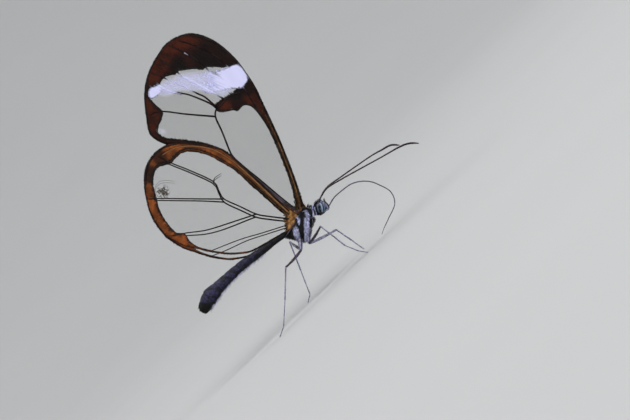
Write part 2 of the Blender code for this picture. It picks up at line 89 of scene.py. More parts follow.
# Camber: its size and its turn for each millimetre, up the wing and along it.
CAMBER = ((0.10, 0.16), (0.04, 0.9))
FOREWING = {
    "name": "forewing",
    "outline": (
        (0.63, 10.1), (1.63, 11.66), (2.8, 14.03), (3.98, 16.77), (5.12, 19.56), (6.15, 22.45),
        (7.13, 25.39), (7.64, 26.83), (8.05, 28.65), (8.5, 32.3), (8.0, 36.1), (6.3, 38.95),
        (3.45, 40.1), (1.2, 39.85), (-1.75, 38.85), (-4.3, 36.95), (-6.9, 33.55), (-7.4, 32.0),
        (-6.6, 29.9), (-4.75, 28.2), (-2.0, 24.2), (-1.35, 17.5), (-0.9, 13.5), (-0.2, 10.2),
    ),
    "window": (
        (0.2, 11.05), (0.58, 11.51), (1.15, 12.51), (1.71, 13.53), (2.24, 14.56), (2.86, 15.91),
        (3.99, 18.7), (4.51, 20.14), (5.0, 21.61), (5.37, 23.2), (5.6, 24.91), (5.43, 25.94),
        (4.97, 26.48), (4.32, 26.61), (3.66, 26.53), (3.39, 27.05), (2.79, 27.44),
        (1.98, 28.01), (1.6, 28.62), (1.94, 29.17), (2.61, 29.27), (3.43, 29.11), (4.87, 28.79),
        (5.67, 28.81), (6.52, 28.48), (7.26, 28.55), (7.71, 28.71), (8.09, 29.31), (8.3, 30.5),
        (8.14, 31.38), (7.46, 31.68), (6.53, 32.33), (5.57, 33.35), (4.71, 34.07), (4.16, 34.1),
        (3.45, 34.98), (2.44, 35.74), (1.49, 36.36), (0.95, 36.3), (0.04, 36.87), (-0.95, 37.04),
        (-1.73, 36.72), (-2.46, 37.07), (-3.08, 37.33), (-3.64, 36.99), (-4.0, 36.38),
        (-4.01, 34.65), (-3.95, 33.72), (-4.68, 33.16), (-5.65, 32.75), (-6.34, 32.24),
        (-6.52, 31.64), (-6.24, 30.73), (-5.33, 29.67), (-3.88, 27.96), (-2.71, 26.36),
        (-1.5, 23.8), (-1.16, 21.12), (-0.97, 19.29), (-0.74, 17.52), (-0.55, 15.7),
        (-0.36, 13.87), (-0.13, 12.1), (0.02, 11.3),
    ),
    "white": (
        (
            (7.71, 28.71), (8.09, 29.31), (8.3, 30.5), (8.14, 31.38), (7.46, 31.68),
            (6.79, 32.0), (5.39, 32.56), (4.58, 33.13), (3.83, 33.45), (2.8, 33.7), (2.1, 33.3),
            (1.9, 32.4), (2.3, 31.4), (3.1, 30.8), (3.69, 30.49), (4.63, 29.9), (5.46, 29.2),
            (6.14, 28.59), (6.67, 28.44), (7.26, 28.55),
        ),
        (
            (-3.16, 37.31), (-2.6, 37.13), (-1.6, 36.7), (-1.7, 36.1), (-2.8, 35.85),
            (-3.55, 36.0), (-3.95, 36.23), (-3.79, 36.75),
        ),
    ),
    "white_fade": (((2.75, 33.67), (5.9, 31.3)), ((-0.2, 34.7), (-3.0, 36.3))),
    "veil_and_highlight": (
        (
            (4.83, 33.38), (4.12, 34.05), (3.26, 34.77), (2.25, 35.54), (1.4, 36.06),
            (0.65, 36.29), (-0.3, 36.71), (-1.09, 36.89), (-2.4, 36.87), (-3.0, 36.1),
            (-2.5, 35.1), (-1.54, 34.42), (-0.79, 34.38), (0.11, 33.72), (0.89, 32.92),
            (1.68, 32.13), (2.34, 31.2), (2.91, 30.18), (3.62, 29.31), (4.62, 29.13),
            (5.41, 29.15),
        ),
        # This small patch of the veil is a painted highlight on the clear membrane.
        ((-6.5, 32.0), (-6.1, 32.45), (-5.6, 32.2), (-5.4, 31.5), (-5.65, 31.1), (-6.1, 31.3)),
    ),
    "streaks": (
        ((2.9, 31.0), (2.31, 32.78), (1.98, 34.05), (1.52, 35.18)),
        ((-0.29, 33.8), (-1.03, 34.74), (-1.51, 35.65), (-1.78, 36.48)),
    ),
    "veins": (
        (0.06, 0.09, (
            (0.1, 10.9), (-0.12, 12.1), (-0.36, 13.87), (-0.55, 15.7), (-0.74, 17.52),
            (-0.97, 19.3), (-1.16, 21.1), (-1.22, 22.4), (-0.97, 23.4), (0.07, 25.93),
            (0.89, 28.18), (1.8, 28.9),
        )),
        (0.05, 0.04, (
            (-0.1, 11.2), (-0.33, 12.4), (-0.56, 13.87), (-0.74, 15.7), (-0.92, 17.5),
            (-1.1, 19.3),
        ), "grey"),
        (0.09, 0.06, ((0.89, 28.18), (-1.77, 31.16), (-4.09, 33.91), (-5.7, 34.6))),
        (0.08, 0.05, (
            (1.8, 28.9), (1.73, 29.56), (1.39, 30.62), (0.32, 32.93), (-0.34, 33.85),
            (-1.51, 35.65), (-2.3, 36.6), (-3.1, 37.8),
        )),
        (0.08, 0.05, (
            (1.94, 28.98), (1.72, 31.16), (1.38, 32.02), (0.6, 34.2), (-0.61, 37.15),
            (-1.46, 38.7),
        )),
        (0.09, 0.05, (
            (3.43, 29.11), (3.1, 30.38), (2.31, 32.78), (1.52, 35.18), (1.17, 37.63),
            (0.66, 39.5),
        )),
        (0.09, 0.05, (
            (4.6, 28.8), (4.75, 31.5), (4.65, 34.2), (4.25, 36.53), (3.12, 39.6),
        )),
        (0.10, 0.09, ((1.8, 28.9), (2.4, 28.75), (3.43, 28.9), (4.6, 28.8), (5.9, 28.0))),
        (0.08, 0.07, (
            (0.3, 10.8), (0.7, 11.5), (1.27, 12.5), (1.83, 13.5), (2.36, 14.5), (2.98, 15.85),
            (4.12, 18.65), (5.13, 21.55), (5.5, 23.2), (5.95, 25.5), (6.5, 28.2),
            (6.95, 31.0), (6.75, 34.2), (5.7, 37.2), (4.5, 39.3),
        )),
        (0.11, 0.07, (
            (0.55, 10.2), (1.53, 11.72), (2.69, 14.1), (3.87, 16.82), (5.0, 19.6),
            (6.03, 22.5), (7.0, 25.42), (7.9, 28.7), (8.35, 32.4), (7.85, 36.0), (6.2, 38.8),
        )),
        (0.055, 0.03, (
            (0.54, 10.77), (1.19, 11.7), (1.88, 12.97), (2.53, 14.29), (3.71, 17.03),
            (4.86, 19.81), (5.84, 22.74), (6.3, 24.6),
        ), "gold"),
        # A painted glint: a short pale vein where light catches the brown apex.
        (0.07, 0.055, ((3.86, 37.62), (4.05, 37.1), (4.25, 36.53)), "painted_glint"),
    ),
    "hinge": (0.4, 10.6),
    "plane_y": 0.4,
    "flare": 0.35,
    "flare_reach": 1.8,
    "far_lag": (0.0, 0.0),
    "far_droop": (0.0, 0.0),
    "warm_reach": (3.0, 16.0),
    "warm_most": 0.55,
    "rust_share": 0.32,
    "gloomy": (
        (6.3, 34.4, 3.6), (2.0, 36.6, 1.6), (7.1, 28.1, 2.0), (5.2, 28.3, 1.2), (8.1, 31.2, 1.9),
    ),
    "rusty": ((3.0, 28.3, 1.4), (4.9, 38.4, 1.5)),
    # Behind this line, the hind margin is painted with a blue-grey sheen.
    "sheen_side": (
        (0.1, 10.0), (0.05, 11.3), (-0.13, 12.1), (-0.36, 13.87), (-0.74, 17.52),
        (-1.16, 21.12), (-1.5, 24.0),
    ),
}
HINDWING = {
    "name": "hindwing",
    "outline": (
        (-0.5, 11.0), (-0.95, 13.6), (-1.0, 15.9), (-1.4, 22.95), (-2.25, 25.1), (-4.75, 28.45),
        (-7.6, 30.15), (-10.7, 29.85), (-13.05, 27.9), (-15.05, 24.5), (-15.6, 21.5),
        (-15.35, 19.8), (-14.75, 18.2), (-13.95, 16.95), (-13.2, 15.72), (-12.65, 14.89),
        (-11.52, 13.46), (-10.53, 12.47), (-8.83, 11.22), (-7.04, 10.66), (-5.51, 10.25),
        (-3.55, 9.82), (-2.75, 9.56), (-1.9, 9.62), (-1.0, 9.7), (-0.4, 10.3),
    ),
    "window": (
        (-1.6, 11.35), (-1.41, 11.85), (-1.53, 12.7), (-1.66, 14.6), (-1.8, 16.5),
        (-1.99, 18.3), (-2.1, 20.2), (-2.35, 21.6),
        (-3.03, 24.05), (-3.81, 25.78), (-4.74, 27.12), (-5.78, 27.89),
        (-6.97, 28.03), (-7.98, 27.96), (-8.84, 28.39), (-9.59, 28.76), (-10.43, 28.68),
        (-11.37, 28.04), (-12.21, 27.07), (-13.07, 25.47), (-13.67, 24.51), (-14.21, 22.81),
        (-14.39, 20.54), (-14.04, 19.86), (-13.57, 19.4), (-13.72, 18.6), (-13.8, 18.0),
        (-13.58, 16.94), (-13.02, 15.86), (-12.48, 15.03), (-11.37, 13.6), (-10.4, 12.62),
        (-8.75, 11.39), (-7.0, 10.84), (-5.46, 10.44), (-3.5, 9.98), (-2.95, 9.88),
        (-2.6, 10.25), (-2.0, 10.9),
    ),
    "white": (),
    "white_fade": (),
    "veil_and_highlight": (),
    "streaks": (),
    "veins": (
        (0.09, 0.07, (
            (-1.7, 10.8), (-3.39, 12.85), (-4.53, 14.41), (-5.44, 16.75), (-6.32, 19.04),
            (-6.06, 20.33), (-5.72, 21.84), (-6.99, 25.18), (-8.21, 27.88), (-8.8, 29.6),
        )),
        (0.08, 0.06, ((-6.32, 19.04), (-9.72, 22.34), (-12.94, 25.48), (-14.0, 26.3))),
        (0.08, 0.06, (
            (-4.53, 14.41), (-7.89, 16.01), (-11.03, 17.58), (-13.52, 19.37), (-15.2, 20.4),
        )),
        (0.06, 0.05, ((-2.6, 10.4), (-5.79, 11.97), (-8.63, 13.44), (-12.9, 15.2))),
        (0.05, 0.02, ((-5.72, 21.84), (-5.25, 22.07), (-4.02, 21.85))),
        (0.018, 0.012, ((-14.2, 25.4), (-11.72, 27.0), (-10.47, 26.58), (-9.56, 25.52))),
        (0.05, 0.04, (
            (-1.25, 11.2), (-1.45, 12.7), (-1.58, 14.6), (-1.72, 16.5), (-1.92, 18.9),
            (-2.3, 21.6), (-3.1, 24.1),
        )),
        (0.045, 0.035, ((-1.5, 9.9), (-2.2, 9.68), (-2.72, 9.53), (-3.7, 9.34)), "grey"),
        (0.07, 0.06, (
            (-0.95, 11.6), (-1.07, 13.6), (-1.13, 15.9), (-1.53, 22.95), (-2.35, 25.05),
            (-4.85, 28.33), (-7.63, 30.0), (-10.6, 29.72), (-12.95, 27.8),
        )),
        (0.07, 0.06, (
            (-1.1, 11.4), (-1.26, 13.6), (-1.36, 15.9), (-1.64, 20.6), (-1.98, 22.9),
            (-2.75, 25.2), (-4.4, 27.4), (-6.4, 28.9), (-8.4, 29.4),
        ), "gold"),
    ),
    "hinge": (-1.2, 10.2),
    "plane_y": 1.3,
    "flare": -0.55,
    "flare_reach": 1.6,
    "far_lag": (-0.04, -0.22),
    "far_droop": (-0.3, -0.45),
    "warm_reach": (1.5, 15.0),
    "warm_most": 0.85,
    "rust_share": 0.9,
    "gloomy": (
        (-8.7, 29.3, 1.5), (-11.3, 28.5, 1.7), (-14.4, 21.0, 0.6), (-4.7, 10.1, 2.4),
        (-7.4, 10.8, 2.2),
    ),
    "rusty": ((-14.1, 25.8, 1.6), (-14.9, 22.3, 1.2)),
    "sheen_side": (),
}
# The far hindwing lies a little behind and below the near one: least at its hinge, and most at
# its lower edge.
DROOP_FROM = 22.0
DROOP_TO = 13.5
LAG_REACH = (5.0, 11.0)
LAG_LEAST = 0.45
# How pale and how golden a vein of each finish is. The painted glint is a short pale vein that stands
# for light caught on the apex.
VEIN_FINISHES = {"gold": (0.0, 1.0), "painted_glint": (0.4, 0.0), "grey": (0.12, 0.0), "plain": (0.0, 0.0)}
SCUFF = (-11.68, 25.72)
SCUFF_RADIUS = 1.2
VEIN_GIRTH = 1.3
VEIN_SIDES = 8
VEIN_SLANT = -0.38
MARGIN_RADIUS = 0.045
# Where the dark lines fade in, by the distance from the rim, the window's edge and a vein.
RIM_FADE = (0.30, 0.12)
WINDOW_FADE = (-0.34, -0.10)
VEIN_FADE = (0.20, 0.06)
# How much finer the dark lines get towards the body, between two distances from the hinge.
EDGE_FINER = 1.6
FINER_REACH = (20.0, 10.0)
# The distance that stands for nothing near.
FAR = 9.0

# Wing scales: rows of small vanes over the coloured parts, and a fringe on the outer edge.
SCALE_LENGTH = 0.27
SCALE_WIDTH = 0.13
SCALE_THICK = 0.012
SCALE_STEP = 0.125
SCALE_UNREST = 0.16
SCALE_INSET = 0.04
FRINGE_STEP = 0.06
FRINGE_WIDTH = 0.05
FRINGE_LENGTH = (0.12, 0.2)
FRINGE_FROM = 3.0
FRINGE_SCATTER = 0.012
HAIRS_PER_MM2 = 2.5
HAIR_WIDTH = 0.012
HAIR_LENGTH = 0.13
HAIR_UNREST = 0.25
HAIR_RISE = 0.03
PATCH = 0.003

# The skin of head, neck, thorax and abdomen: x, z, half height, half width.
BODY = (
    (3.42, 8.85, 0.12, 0.10), (3.30, 8.85, 0.45, 0.34), (3.00, 8.85, 0.80, 0.47),
    (2.50, 8.85, 0.87, 0.49), (2.05, 8.88, 0.74, 0.46), (1.75, 8.98, 0.52, 0.42),
    (1.50, 9.16, 0.50, 0.48), (1.30, 9.36, 0.62, 0.62), (1.00, 9.60, 0.83, 0.80),
    (0.20, 9.42, 1.22, 1.18), (-0.70, 8.95, 1.56, 1.38), (-1.60, 8.48, 1.56, 1.38),
    (-2.30, 8.46, 1.20, 1.15), (-2.80, 8.75, 0.82, 0.85), (-3.15, 9.12, 0.50, 0.55),
    (-3.50, 9.42, 0.34, 0.37), (-4.00, 9.60, 0.36, 0.38), (-5.40, 9.93, 0.49, 0.49),
    (-7.90, 10.20, 0.59, 0.59), (-10.10, 10.50, 0.67, 0.65), (-12.50, 10.68, 0.73, 0.69),
    (-15.00, 10.68, 0.87, 0.78), (-17.00, 10.55, 1.17, 0.92), (-18.15, 10.27, 1.05, 0.82),
    (-18.90, 10.02, 0.78, 0.58), (-19.30, 10.00, 0.42, 0.30),
)
BODY_STEP = 0.09
BODY_SIDES = 64
WAIST_X = -3.5
SEGMENTS = 8
SEGMENT_STEP = 0.07
TIP_X = -17.65
TIP_SLANT = 0.93
# Where the belly's dark underside starts: how far behind the origin, and the height there.
BELLY_LINE = ((3.0, 9.1), (5.4, 9.45), (10.1, 9.86), (15.0, 9.85), (17.0, 9.4))

# Pale stripes on the sides of thorax and head: half width, strength and line, in side view.
STRIPES = (
    (0.22, 0.6, ((0.84, 9.87), (0.41, 9.22))),
    (0.36, 1.0, ((0.13, 9.19), (-1.01, 7.96), (-1.98, 6.76))),
    (0.36, 0.85, ((-1.78, 9.28), (-2.26, 8.58), (-2.74, 7.69))),
    (0.14, 0.85, ((-0.32, 10.2), (-0.85, 9.54))),
    (0.12, 1.1, ((1.68, 9.47), (1.44, 9.12), (1.23, 8.74), (1.11, 8.37))),
    (0.09, 0.85, ((2.12, 9.5), (1.87, 9.08), (1.68, 8.68), (1.58, 8.3))),
    (0.13, 0.9, ((3.5, 9.1), (3.45, 8.6), (3.3, 8.2), (2.95, 7.95))),
)
WHITE_SPOTS = ((0.86, 9.56), (0.46, 9.19))
SPOT_RADIUS = 0.17
# Maroon hair under the eye, as the stripes are given.
MAROON_STRIPES = ((0.16, 0.8, ((1.8, 8.35), (2.02, 8.1), (2.4, 7.98), (2.8, 7.95))),)

# Coats of the body: name, stretch from x to x, hairs for each square millimetre, length, width,
# rise of the tip, how much more it rises underneath, finish, lie and how unruly the lie is.
COATS = (
    ("thorax_hair", (-3.5, 1.4), 190.0, 0.50, 0.05, 0.13, 0.17, "hair", (-0.69, 0.0, -0.72), 0.14),
    ("collar_hair", (1.1, 2.05), 260.0, 0.24, 0.04, 0.05, 0.12, "hair", (-0.45, 0.0, -0.9), 0.05),
    ("nape_tuft", (1.2, 1.98), 260.0, 0.16, 0.05, 0.66, 0.0, "hair", (0.6, 0.0, 0.2), 0.10),
    ("head_hair", (1.75, 3.35), 190.0, 0.18, 0.04, 0.06, 0.06, "hair", (-0.45, 0.0, -0.75), 0.10),
    ("face_hair", (3.05, 3.41), 300.0, 0.16, 0.045, 0.24, 0.0, "hair", (0.4, 0.0, 0.2), 0.10),
    ("brow_tuft", (2.2, 3.38), 110.0, 0.36, 0.04, 0.34, 0.0, "hair", (0.7, 0.0, 0.5), 0.14),
    (
        "abdomen_scales", (-19.25, -3.3), 100.0, 0.24, 0.11, 0.02, 0.0, "abdomen scales",
        (-1.0, 0.0, 0.0), 0.14,
    ),
    ("belly_hair", (-18.2, -7.0), 40.0, 0.45, 0.028, 0.34, 0.0, "hair", (-0.9, 0.0, -0.3), 0.25),
    ("tail_tuft", (-19.29, -18.5), 170.0, 0.40, 0.05, 0.04, 0.0, "hair", (-1.0, 0.0, 0.0), 0.10),
)
HAIR_THICK = 0.014
ABDOMEN_SCALE_THICK = 0.01
# How far round the body nape and belly hair go, as the cosine of the turn from the top.
NAPE_SPREAD = 0.72
BELLY_SPREAD = -0.80
NAPE_SPOT_X = 1.68
BROW_HALF_WIDTH = 0.34
BROW_LOWEST = 8.9
TAIL_END_RISE = 0.42

EYE_CENTRE = (2.60, 0.80, 8.78)
EYE_RADII = (0.70, 0.48, 0.77)
# The eye's pale blue bands are painted highlights: reflections of the light in arcs over the dark eye.
# A band is half width, strength and line, in side view.
EYE_HIGHLIGHT_BANDS = (
    (0.11, 1.0, (
        (3.00, 9.42), (2.95, 9.15), (2.85, 8.91), (2.70, 8.66), (2.55, 8.46), (2.40, 8.28),
    )),
    (0.08, 0.42, ((2.54, 9.44), (2.33, 9.20), (2.18, 8.95), (2.07, 8.74), (2.01, 8.55))),
    (0.08, 0.55, ((3.28, 9.15), (3.16, 8.75), (3.00, 8.42), (2.75, 8.15), (2.45, 8.02))),
    (0.10, 0.2, ((2.50, 8.78), (2.42, 8.66))),
    (0.14, 0.2, ((2.55, 9.42), (2.90, 9.46))),
)

# Legs: joints are x, distance from the middle plane, z, from inside the body to the toe.
LEGS = {
    "hindleg_right": (
        (-1.9, 0.7, 8.3), (-3.4, 0.8, 6.45), (-6.9, 4.2, 6.35), (-10.2, 5.2, 3.2),
        (-12.9, 5.9, 0.75), (-14.15, 6.2, 0.15),
    ),
    "hindleg_left": (
        (-1.9, 0.7, 8.3), (-3.35, 0.8, 6.5), (-3.4, 4.8, 8.2), (-5.0, 5.6, 4.2),
        (-6.4, 6.2, 0.75), (-7.3, 6.5, 0.15),
    ),
    "midleg_right": (
        (-0.5, 0.7, 8.1), (-2.0, 0.8, 6.3), (0.5, 4.4, 7.1), (1.05, 5.3, 2.85),
        (1.8, 5.9, 1.1), (2.5, 6.3, 0.15),
    ),
    "midleg_left": (
        (-0.5, 0.7, 8.1), (-1.9, 0.8, 6.25), (2.45, 3.6, 4.9), (3.15, 5.2, 2.2),
        (3.5, 6.0, 0.6), (3.65, 6.5, 0.15),
    ),
}
FORELEG = (
    (0.4, 0.7, 8.9), (0.92, 0.95, 8.5), (0.84, 1.0, 8.15), (0.25, 1.0, 7.85), (-0.15, 0.98, 7.6),
)
FORELEG_SHARES = (0.0, 0.35, 0.42, 0.7, 1.0)
FORELEG_RADII = (0.16, 0.15, 0.11, 0.08, 0.03)

# Profiles of a leg's segments: shares of the length with the radius there.
COXA = (
    (0.0, 0.30), (0.12, 0.36), (0.3, 0.37), (0.55, 0.30), (0.8, 0.22), (0.95, 0.18), (1.0, 0.10),
)
FEMUR = (
    (0.0, 0.10), (0.05, 0.16), (0.18, 0.19), (0.35, 0.20), (0.5, 0.19), (0.65, 0.17),
    (0.85, 0.13), (0.96, 0.14), (1.0, 0.09),
)
TIBIA = (
    (0.0, 0.08), (0.04, 0.11), (0.12, 0.09), (0.5, 0.095), (0.9, 0.105), (0.98, 0.115),
    (1.0, 0.07),
)
FOOT_JOINT = ((0.0, 0.05), (0.12, 0.065), (0.6, 0.07), (0.9, 0.085), (1.0, 0.05))
CLAW = ((0.0, 0.035), (0.35, 0.032), (0.7, 0.02), (1.0, 0.006))
SPUR = ((0.0, 0.03), (0.5, 0.022), (1.0, 0.005))
LEG_PALE = {COXA: 0.45, FEMUR: 0.03, TIBIA: 0.3, FOOT_JOINT: 0.3}
INNER_PALE = 0.5
FEMUR_SAG = 0.1
CLAW_REACH = 0.17
CLAW_SPREAD = 0.09
CLAW_ARCH = 0.03
CLAW_TIP_HEIGHT = 0.02
SPUR_REACH = 0.32
SPUR_SPREAD = 0.12
LOWEST_HAIR = 0.04

# Coats of the limbs: hairs for each square millimetre, length, width and rise of the tip.
LEG_BRISTLES = (40.0, 0.15, 0.022, 0.05)
FORELEG_HAIRS = (90.0, 0.2, 0.03, 0.07)
FEELER_SCALES = (45.0, 0.12, 0.04, 0.012)
PALP_HAIRS = (300.0, 0.2, 0.035, 0.06)
LIMB_HAIR_THICK = 0.008

# Feelers and mouthparts: routes are x, y, z.
ANTENNAE = {
    "antenna_right": (
        (2.75, -0.3, 9.4), (3.6, -0.4, 9.8), (5.15, -1.0, 10.15), (7.2, -1.8, 9.75),
        (9.7, -2.6, 9.1), (13.2, -3.4, 8.15), (16.3, -4.0, 7.35), (17.6, -4.3, 6.7),
        (18.4, -4.5, 5.9),
    ),
    "antenna_left": (
        (2.75, 0.3, 9.4), (3.7, 0.4, 9.8), (5.45, 1.0, 10.2), (8.0, 1.9, 9.85),
        (10.8, 2.9, 9.4), (13.4, 3.8, 8.95), (15.1, 4.4, 8.5), (16.5, 4.8, 8.1),
        (17.5, 5.3, 7.2),
    ),
}
ANTENNA_JOINTS = 40
ANTENNA_JOINT_STEP = 0.16
ANTENNA_SHARES = (0.0, 0.03, 0.06, 0.7, 0.86, 0.95, 1.0)
ANTENNA_RADII = (0.16, 0.19, 0.11, 0.10, 0.14, 0.14, 0.05)
PROBOSCIS = (
    (2.9, 0.0, 8.3), (3.6, 0.0, 8.15), (5.1, 0.0, 8.5), (6.8, 0.0, 8.42), (8.1, 0.0, 8.2),
    (9.25, 0.0, 7.6), (10.2, 0.0, 6.7), (10.8, 0.1, 5.6), (11.4, 0.2, 3.6), (10.65, 0.3, 1.95),
    (8.6, 0.5, 1.05), (7.2, 0.6, 0.5), (6.4, 0.65, 0.1),
)
PROBOSCIS_SHARES = (0.0, 0.05, 0.5, 0.9, 1.0)
PROBOSCIS_RADII = (0.11, 0.10, 0.085, 0.07, 0.03)
PROBOSCIS_RING_STEP = 0.07
PROBOSCIS_GROOVE = 0.28
PALP = (
    (2.85, 0.38, 8.15), (3.22, 0.46, 7.98), (3.48, 0.51, 8.12), (3.62, 0.54, 8.5),
    (3.66, 0.53, 8.85), (3.76, 0.52, 9.15), (3.88, 0.52, 9.32),
)
PALP_RADII = (0.13, 0.17, 0.18, 0.15, 0.10, 0.06, 0.02)
PALP_CORE = 0.8


def srgb(red, green, blue):
    """A linear colour from the 0 to 255 values that a picture shows."""
    return tuple((value / 255) ** 2.2 for value in (red, green, blue)) + (1.0,)


NEAR_BLACK = srgb(16, 8, 7)
RUST = srgb(68, 29, 14)
ORANGE_BROWN = srgb(146, 80, 38)
SCUFF_BROWN = srgb(62, 50, 28)
GOLD = srgb(166, 124, 68)
GOLD_BROWN = srgb(102, 70, 42)
# The painted blue-grey sheen on the forewing's hind margin.
MAUVE_SHEEN = srgb(112, 98, 106)
LAVENDER_WHITE = srgb(214, 214, 250)
SMOKE = srgb(70, 70, 62)
# Slate: the blue-grey of the abdomen's scales, partly painted sheen on its upper side.
SLATE = srgb(50, 48, 80)
BODY_BLACK = srgb(7, 7, 11)
BODY_PALE = srgb(214, 217, 255)
MAROON = srgb(48, 16, 34)
VEIN_BLACK = srgb(10, 7, 7)
VEIN_BROWN = srgb(32, 19, 17)
VEIN_COVERED = srgb(24, 11, 7)
VEIN_GOLD = srgb(128, 90, 56)
EYE_BLACK = srgb(8, 8, 16)
# The pale blue of the eye's painted highlights.
EYE_HIGHLIGHT_BLUE = srgb(160, 182, 216)
EYE_SEAM = srgb(14, 15, 26)


def smooth(points, step, closed=False):
    """Points about a step apart on a smooth curve through the given ones, of any dimension."""
    points = [np.array(point, float) for point in points]
    count = len(points)
    found = []
    for i in range(count if closed else count - 1):
        if closed:
            before, start, end, after = (points[(i + k) % count] for k in (-1, 0, 1, 2))
        else:
            before, start, end, after = (points[min(max(i + k, 0), count - 1)] for k in (-1, 0, 1, 2))
        pieces = max(1, round(np.linalg.norm(end - start) / step))
        for k in range(pieces):
            t = k / pieces
            bend = 2 * before - 5 * start + 4 * end - after
            twist = -before + 3 * start - 3 * end + after
            found.append(0.5 * (2 * start + (end - before) * t + bend * t**2 + twist * t**3))
    if not closed:
        found.append(points[-1])
    return np.array(found)


def distance_from(places, spot):
    """How far each place is from one spot."""
    return np.linalg.norm(places - np.array(spot), axis=1)


def distance_to(places, line):
    """How far each place is from a line of points."""
    nearest = np.full(len(places), np.inf)
    for start, end in zip(line[:-1], line[1:]):
        along = end - start
        share = np.clip((places - start) @ along / (along @ along), 0.0, 1.0)
        gap = np.linalg.norm(places - start - share[:, None] * along, axis=1)
        nearest = np.minimum(nearest, gap)
    return nearest


def distance_to_any(places, lines):
    """How far each place is from the nearest of several lines, and FAR at most."""
    nearest = np.full(len(places), FAR)
    for line in lines:
        nearest = np.minimum(nearest, distance_to(places, line))
    return nearest


def depth_inside(places, outline):
    """How far each place is inside a closed outline, and below 0 outside it."""
    closed = np.vstack([outline, outline[:1]])
    inside = np.zeros(len(places), bool)
    for (x0, z0), (x1, z1) in zip(closed[:-1], closed[1:]):
        if z0 == z1:
            continue
        crossing = x0 + (x1 - x0) * (places[:, 1] - z0) / (z1 - z0)
        inside ^= ((z0 > places[:, 1]) != (z1 > places[:, 1])) & (places[:, 0] < crossing)
    return np.where(inside, 1.0, -1.0) * distance_to(places, closed)


def ramp(values, start, end):
    """Rises smoothly from 0 where a value is start to 1 where it is end."""
    share = np.clip((values - start) / (end - start), 0.0, 1.0)
    return share * share * (3.0 - 2.0 * share)


# Shader nodes

def add_node(tree, kind, inputs=None, **settings):
    """A shader node with its settings, and inputs that are values or sockets to link."""
    made = tree.nodes.new("ShaderNode" + kind)
    for name, value in settings.items():
        setattr(made, name, value)
    for place, value in (inputs or {}).items():
        if isinstance(value, bpy.types.NodeSocket):
            tree.links.new(value, made.inputs[place])
        else:
            made.inputs[place].default_value = value
    return made


def read(tree, name):
    return add_node(tree, "Attribute", attribute_name=name).outputs["Fac"]


def maths(tree, operation, first, second):
    return add_node(tree, "Math", {0: first, 1: second}, operation=operation).outputs[0]


def fade(tree, value, start, end):
    """Rises smoothly from 0 where the value is start to 1 where it is end."""
    inputs = {"Value": value, "From Min": start, "From Max": end}
    return add_node(tree, "MapRange", inputs, interpolation_type="SMOOTHSTEP").outputs[0]


def times(tree, first, second):
    return maths(tree, "MULTIPLY", first, second)


def plus(tree, first, second):
    return maths(tree, "ADD", first, second)


def most(tree, first, *others):
    """The largest of several values."""
    for other in others:
        first = maths(tree, "MAXIMUM", first, other)
    return first


def swing(tree, value, size):
    """A noise's value as a swing about 0."""
    return times(tree, maths(tree, "SUBTRACT", value, 0.5), size)


def mix(tree, share, first, second, blend_type="MIX"):
    """Two colours mixed by the share of the second."""
    inputs = {0: share, 6: first, 7: second}
    made = add_node(tree, "Mix", inputs, data_type="RGBA", blend_type=blend_type)
    return made.outputs[2]


def shaded(tree, colour, darkest, lightest):
    """A colour times the shade of its own that each scale or hair has."""
    inputs = {"Value": read(tree, "shade"), "To Min": darkest, "To Max": lightest}
    shade = add_node(tree, "MapRange", inputs).outputs[0]
    return mix(tree, 1.0, colour, shade, "MULTIPLY")


def noise(tree, features_per_mm, detail=2.0):
    """A soft random value over the object, from about 0.3 to 0.7."""
    place = add_node(tree, "TexCoord").outputs["Object"]
    inputs = {"Vector": place, "Scale": features_per_mm / MM, "Detail": detail}
    return add_node(tree, "TexNoise", inputs).outputs["Fac"]


def lined_noise(tree):
    """A soft random value in fine lines that run with the wing's veins."""
    place = add_node(tree, "TexCoord").outputs["Object"]
    turned = add_node(
        tree, "Mapping",
        {"Vector": place, "Rotation": (0.0, VEIN_SLANT, 0.0), "Scale": (0.2, 1.0, 2.0)},
        vector_type="TEXTURE",
    ).outputs[0]
    inputs = {"Vector": turned, "Scale": 1.0 / MM, "Detail": 2.0}
    return add_node(tree, "TexNoise", inputs).outputs["Fac"]


def new_group(name, inputs, outputs):
    """An empty node group: inputs are name, kind and value, outputs are name and kind."""
    group = bpy.data.node_groups.new(name, "ShaderNodeTree")
    for label, kind, value in inputs:
        socket = group.interface.new_socket(label, in_out="INPUT", socket_type="NodeSocket" + kind)
        socket.default_value = value
    for label, kind in outputs:
        group.interface.new_socket(label, in_out="OUTPUT", socket_type="NodeSocket" + kind)
    return group


def new_material(name, roughness, **uniform):
    """A material, its tree and its shader, with the shader's uniform values set."""
    material = bpy.data.materials.new(name)
    material.use_nodes = True
    shader = material.node_tree.nodes["Principled BSDF"]
    shader.inputs["Roughness"].default_value = roughness
    for label, value in uniform.items():
        shader.inputs[label.replace("_", " ")].default_value = value
    return material, material.node_tree, shader


def join_bump(tree, shader, height, depth_mm, strength):
    inputs = {"Height": height, "Distance": depth_mm * MM, "Strength": strength}
    tree.links.new(add_node(tree, "Bump", inputs).outputs[0], shader.inputs["Normal"])


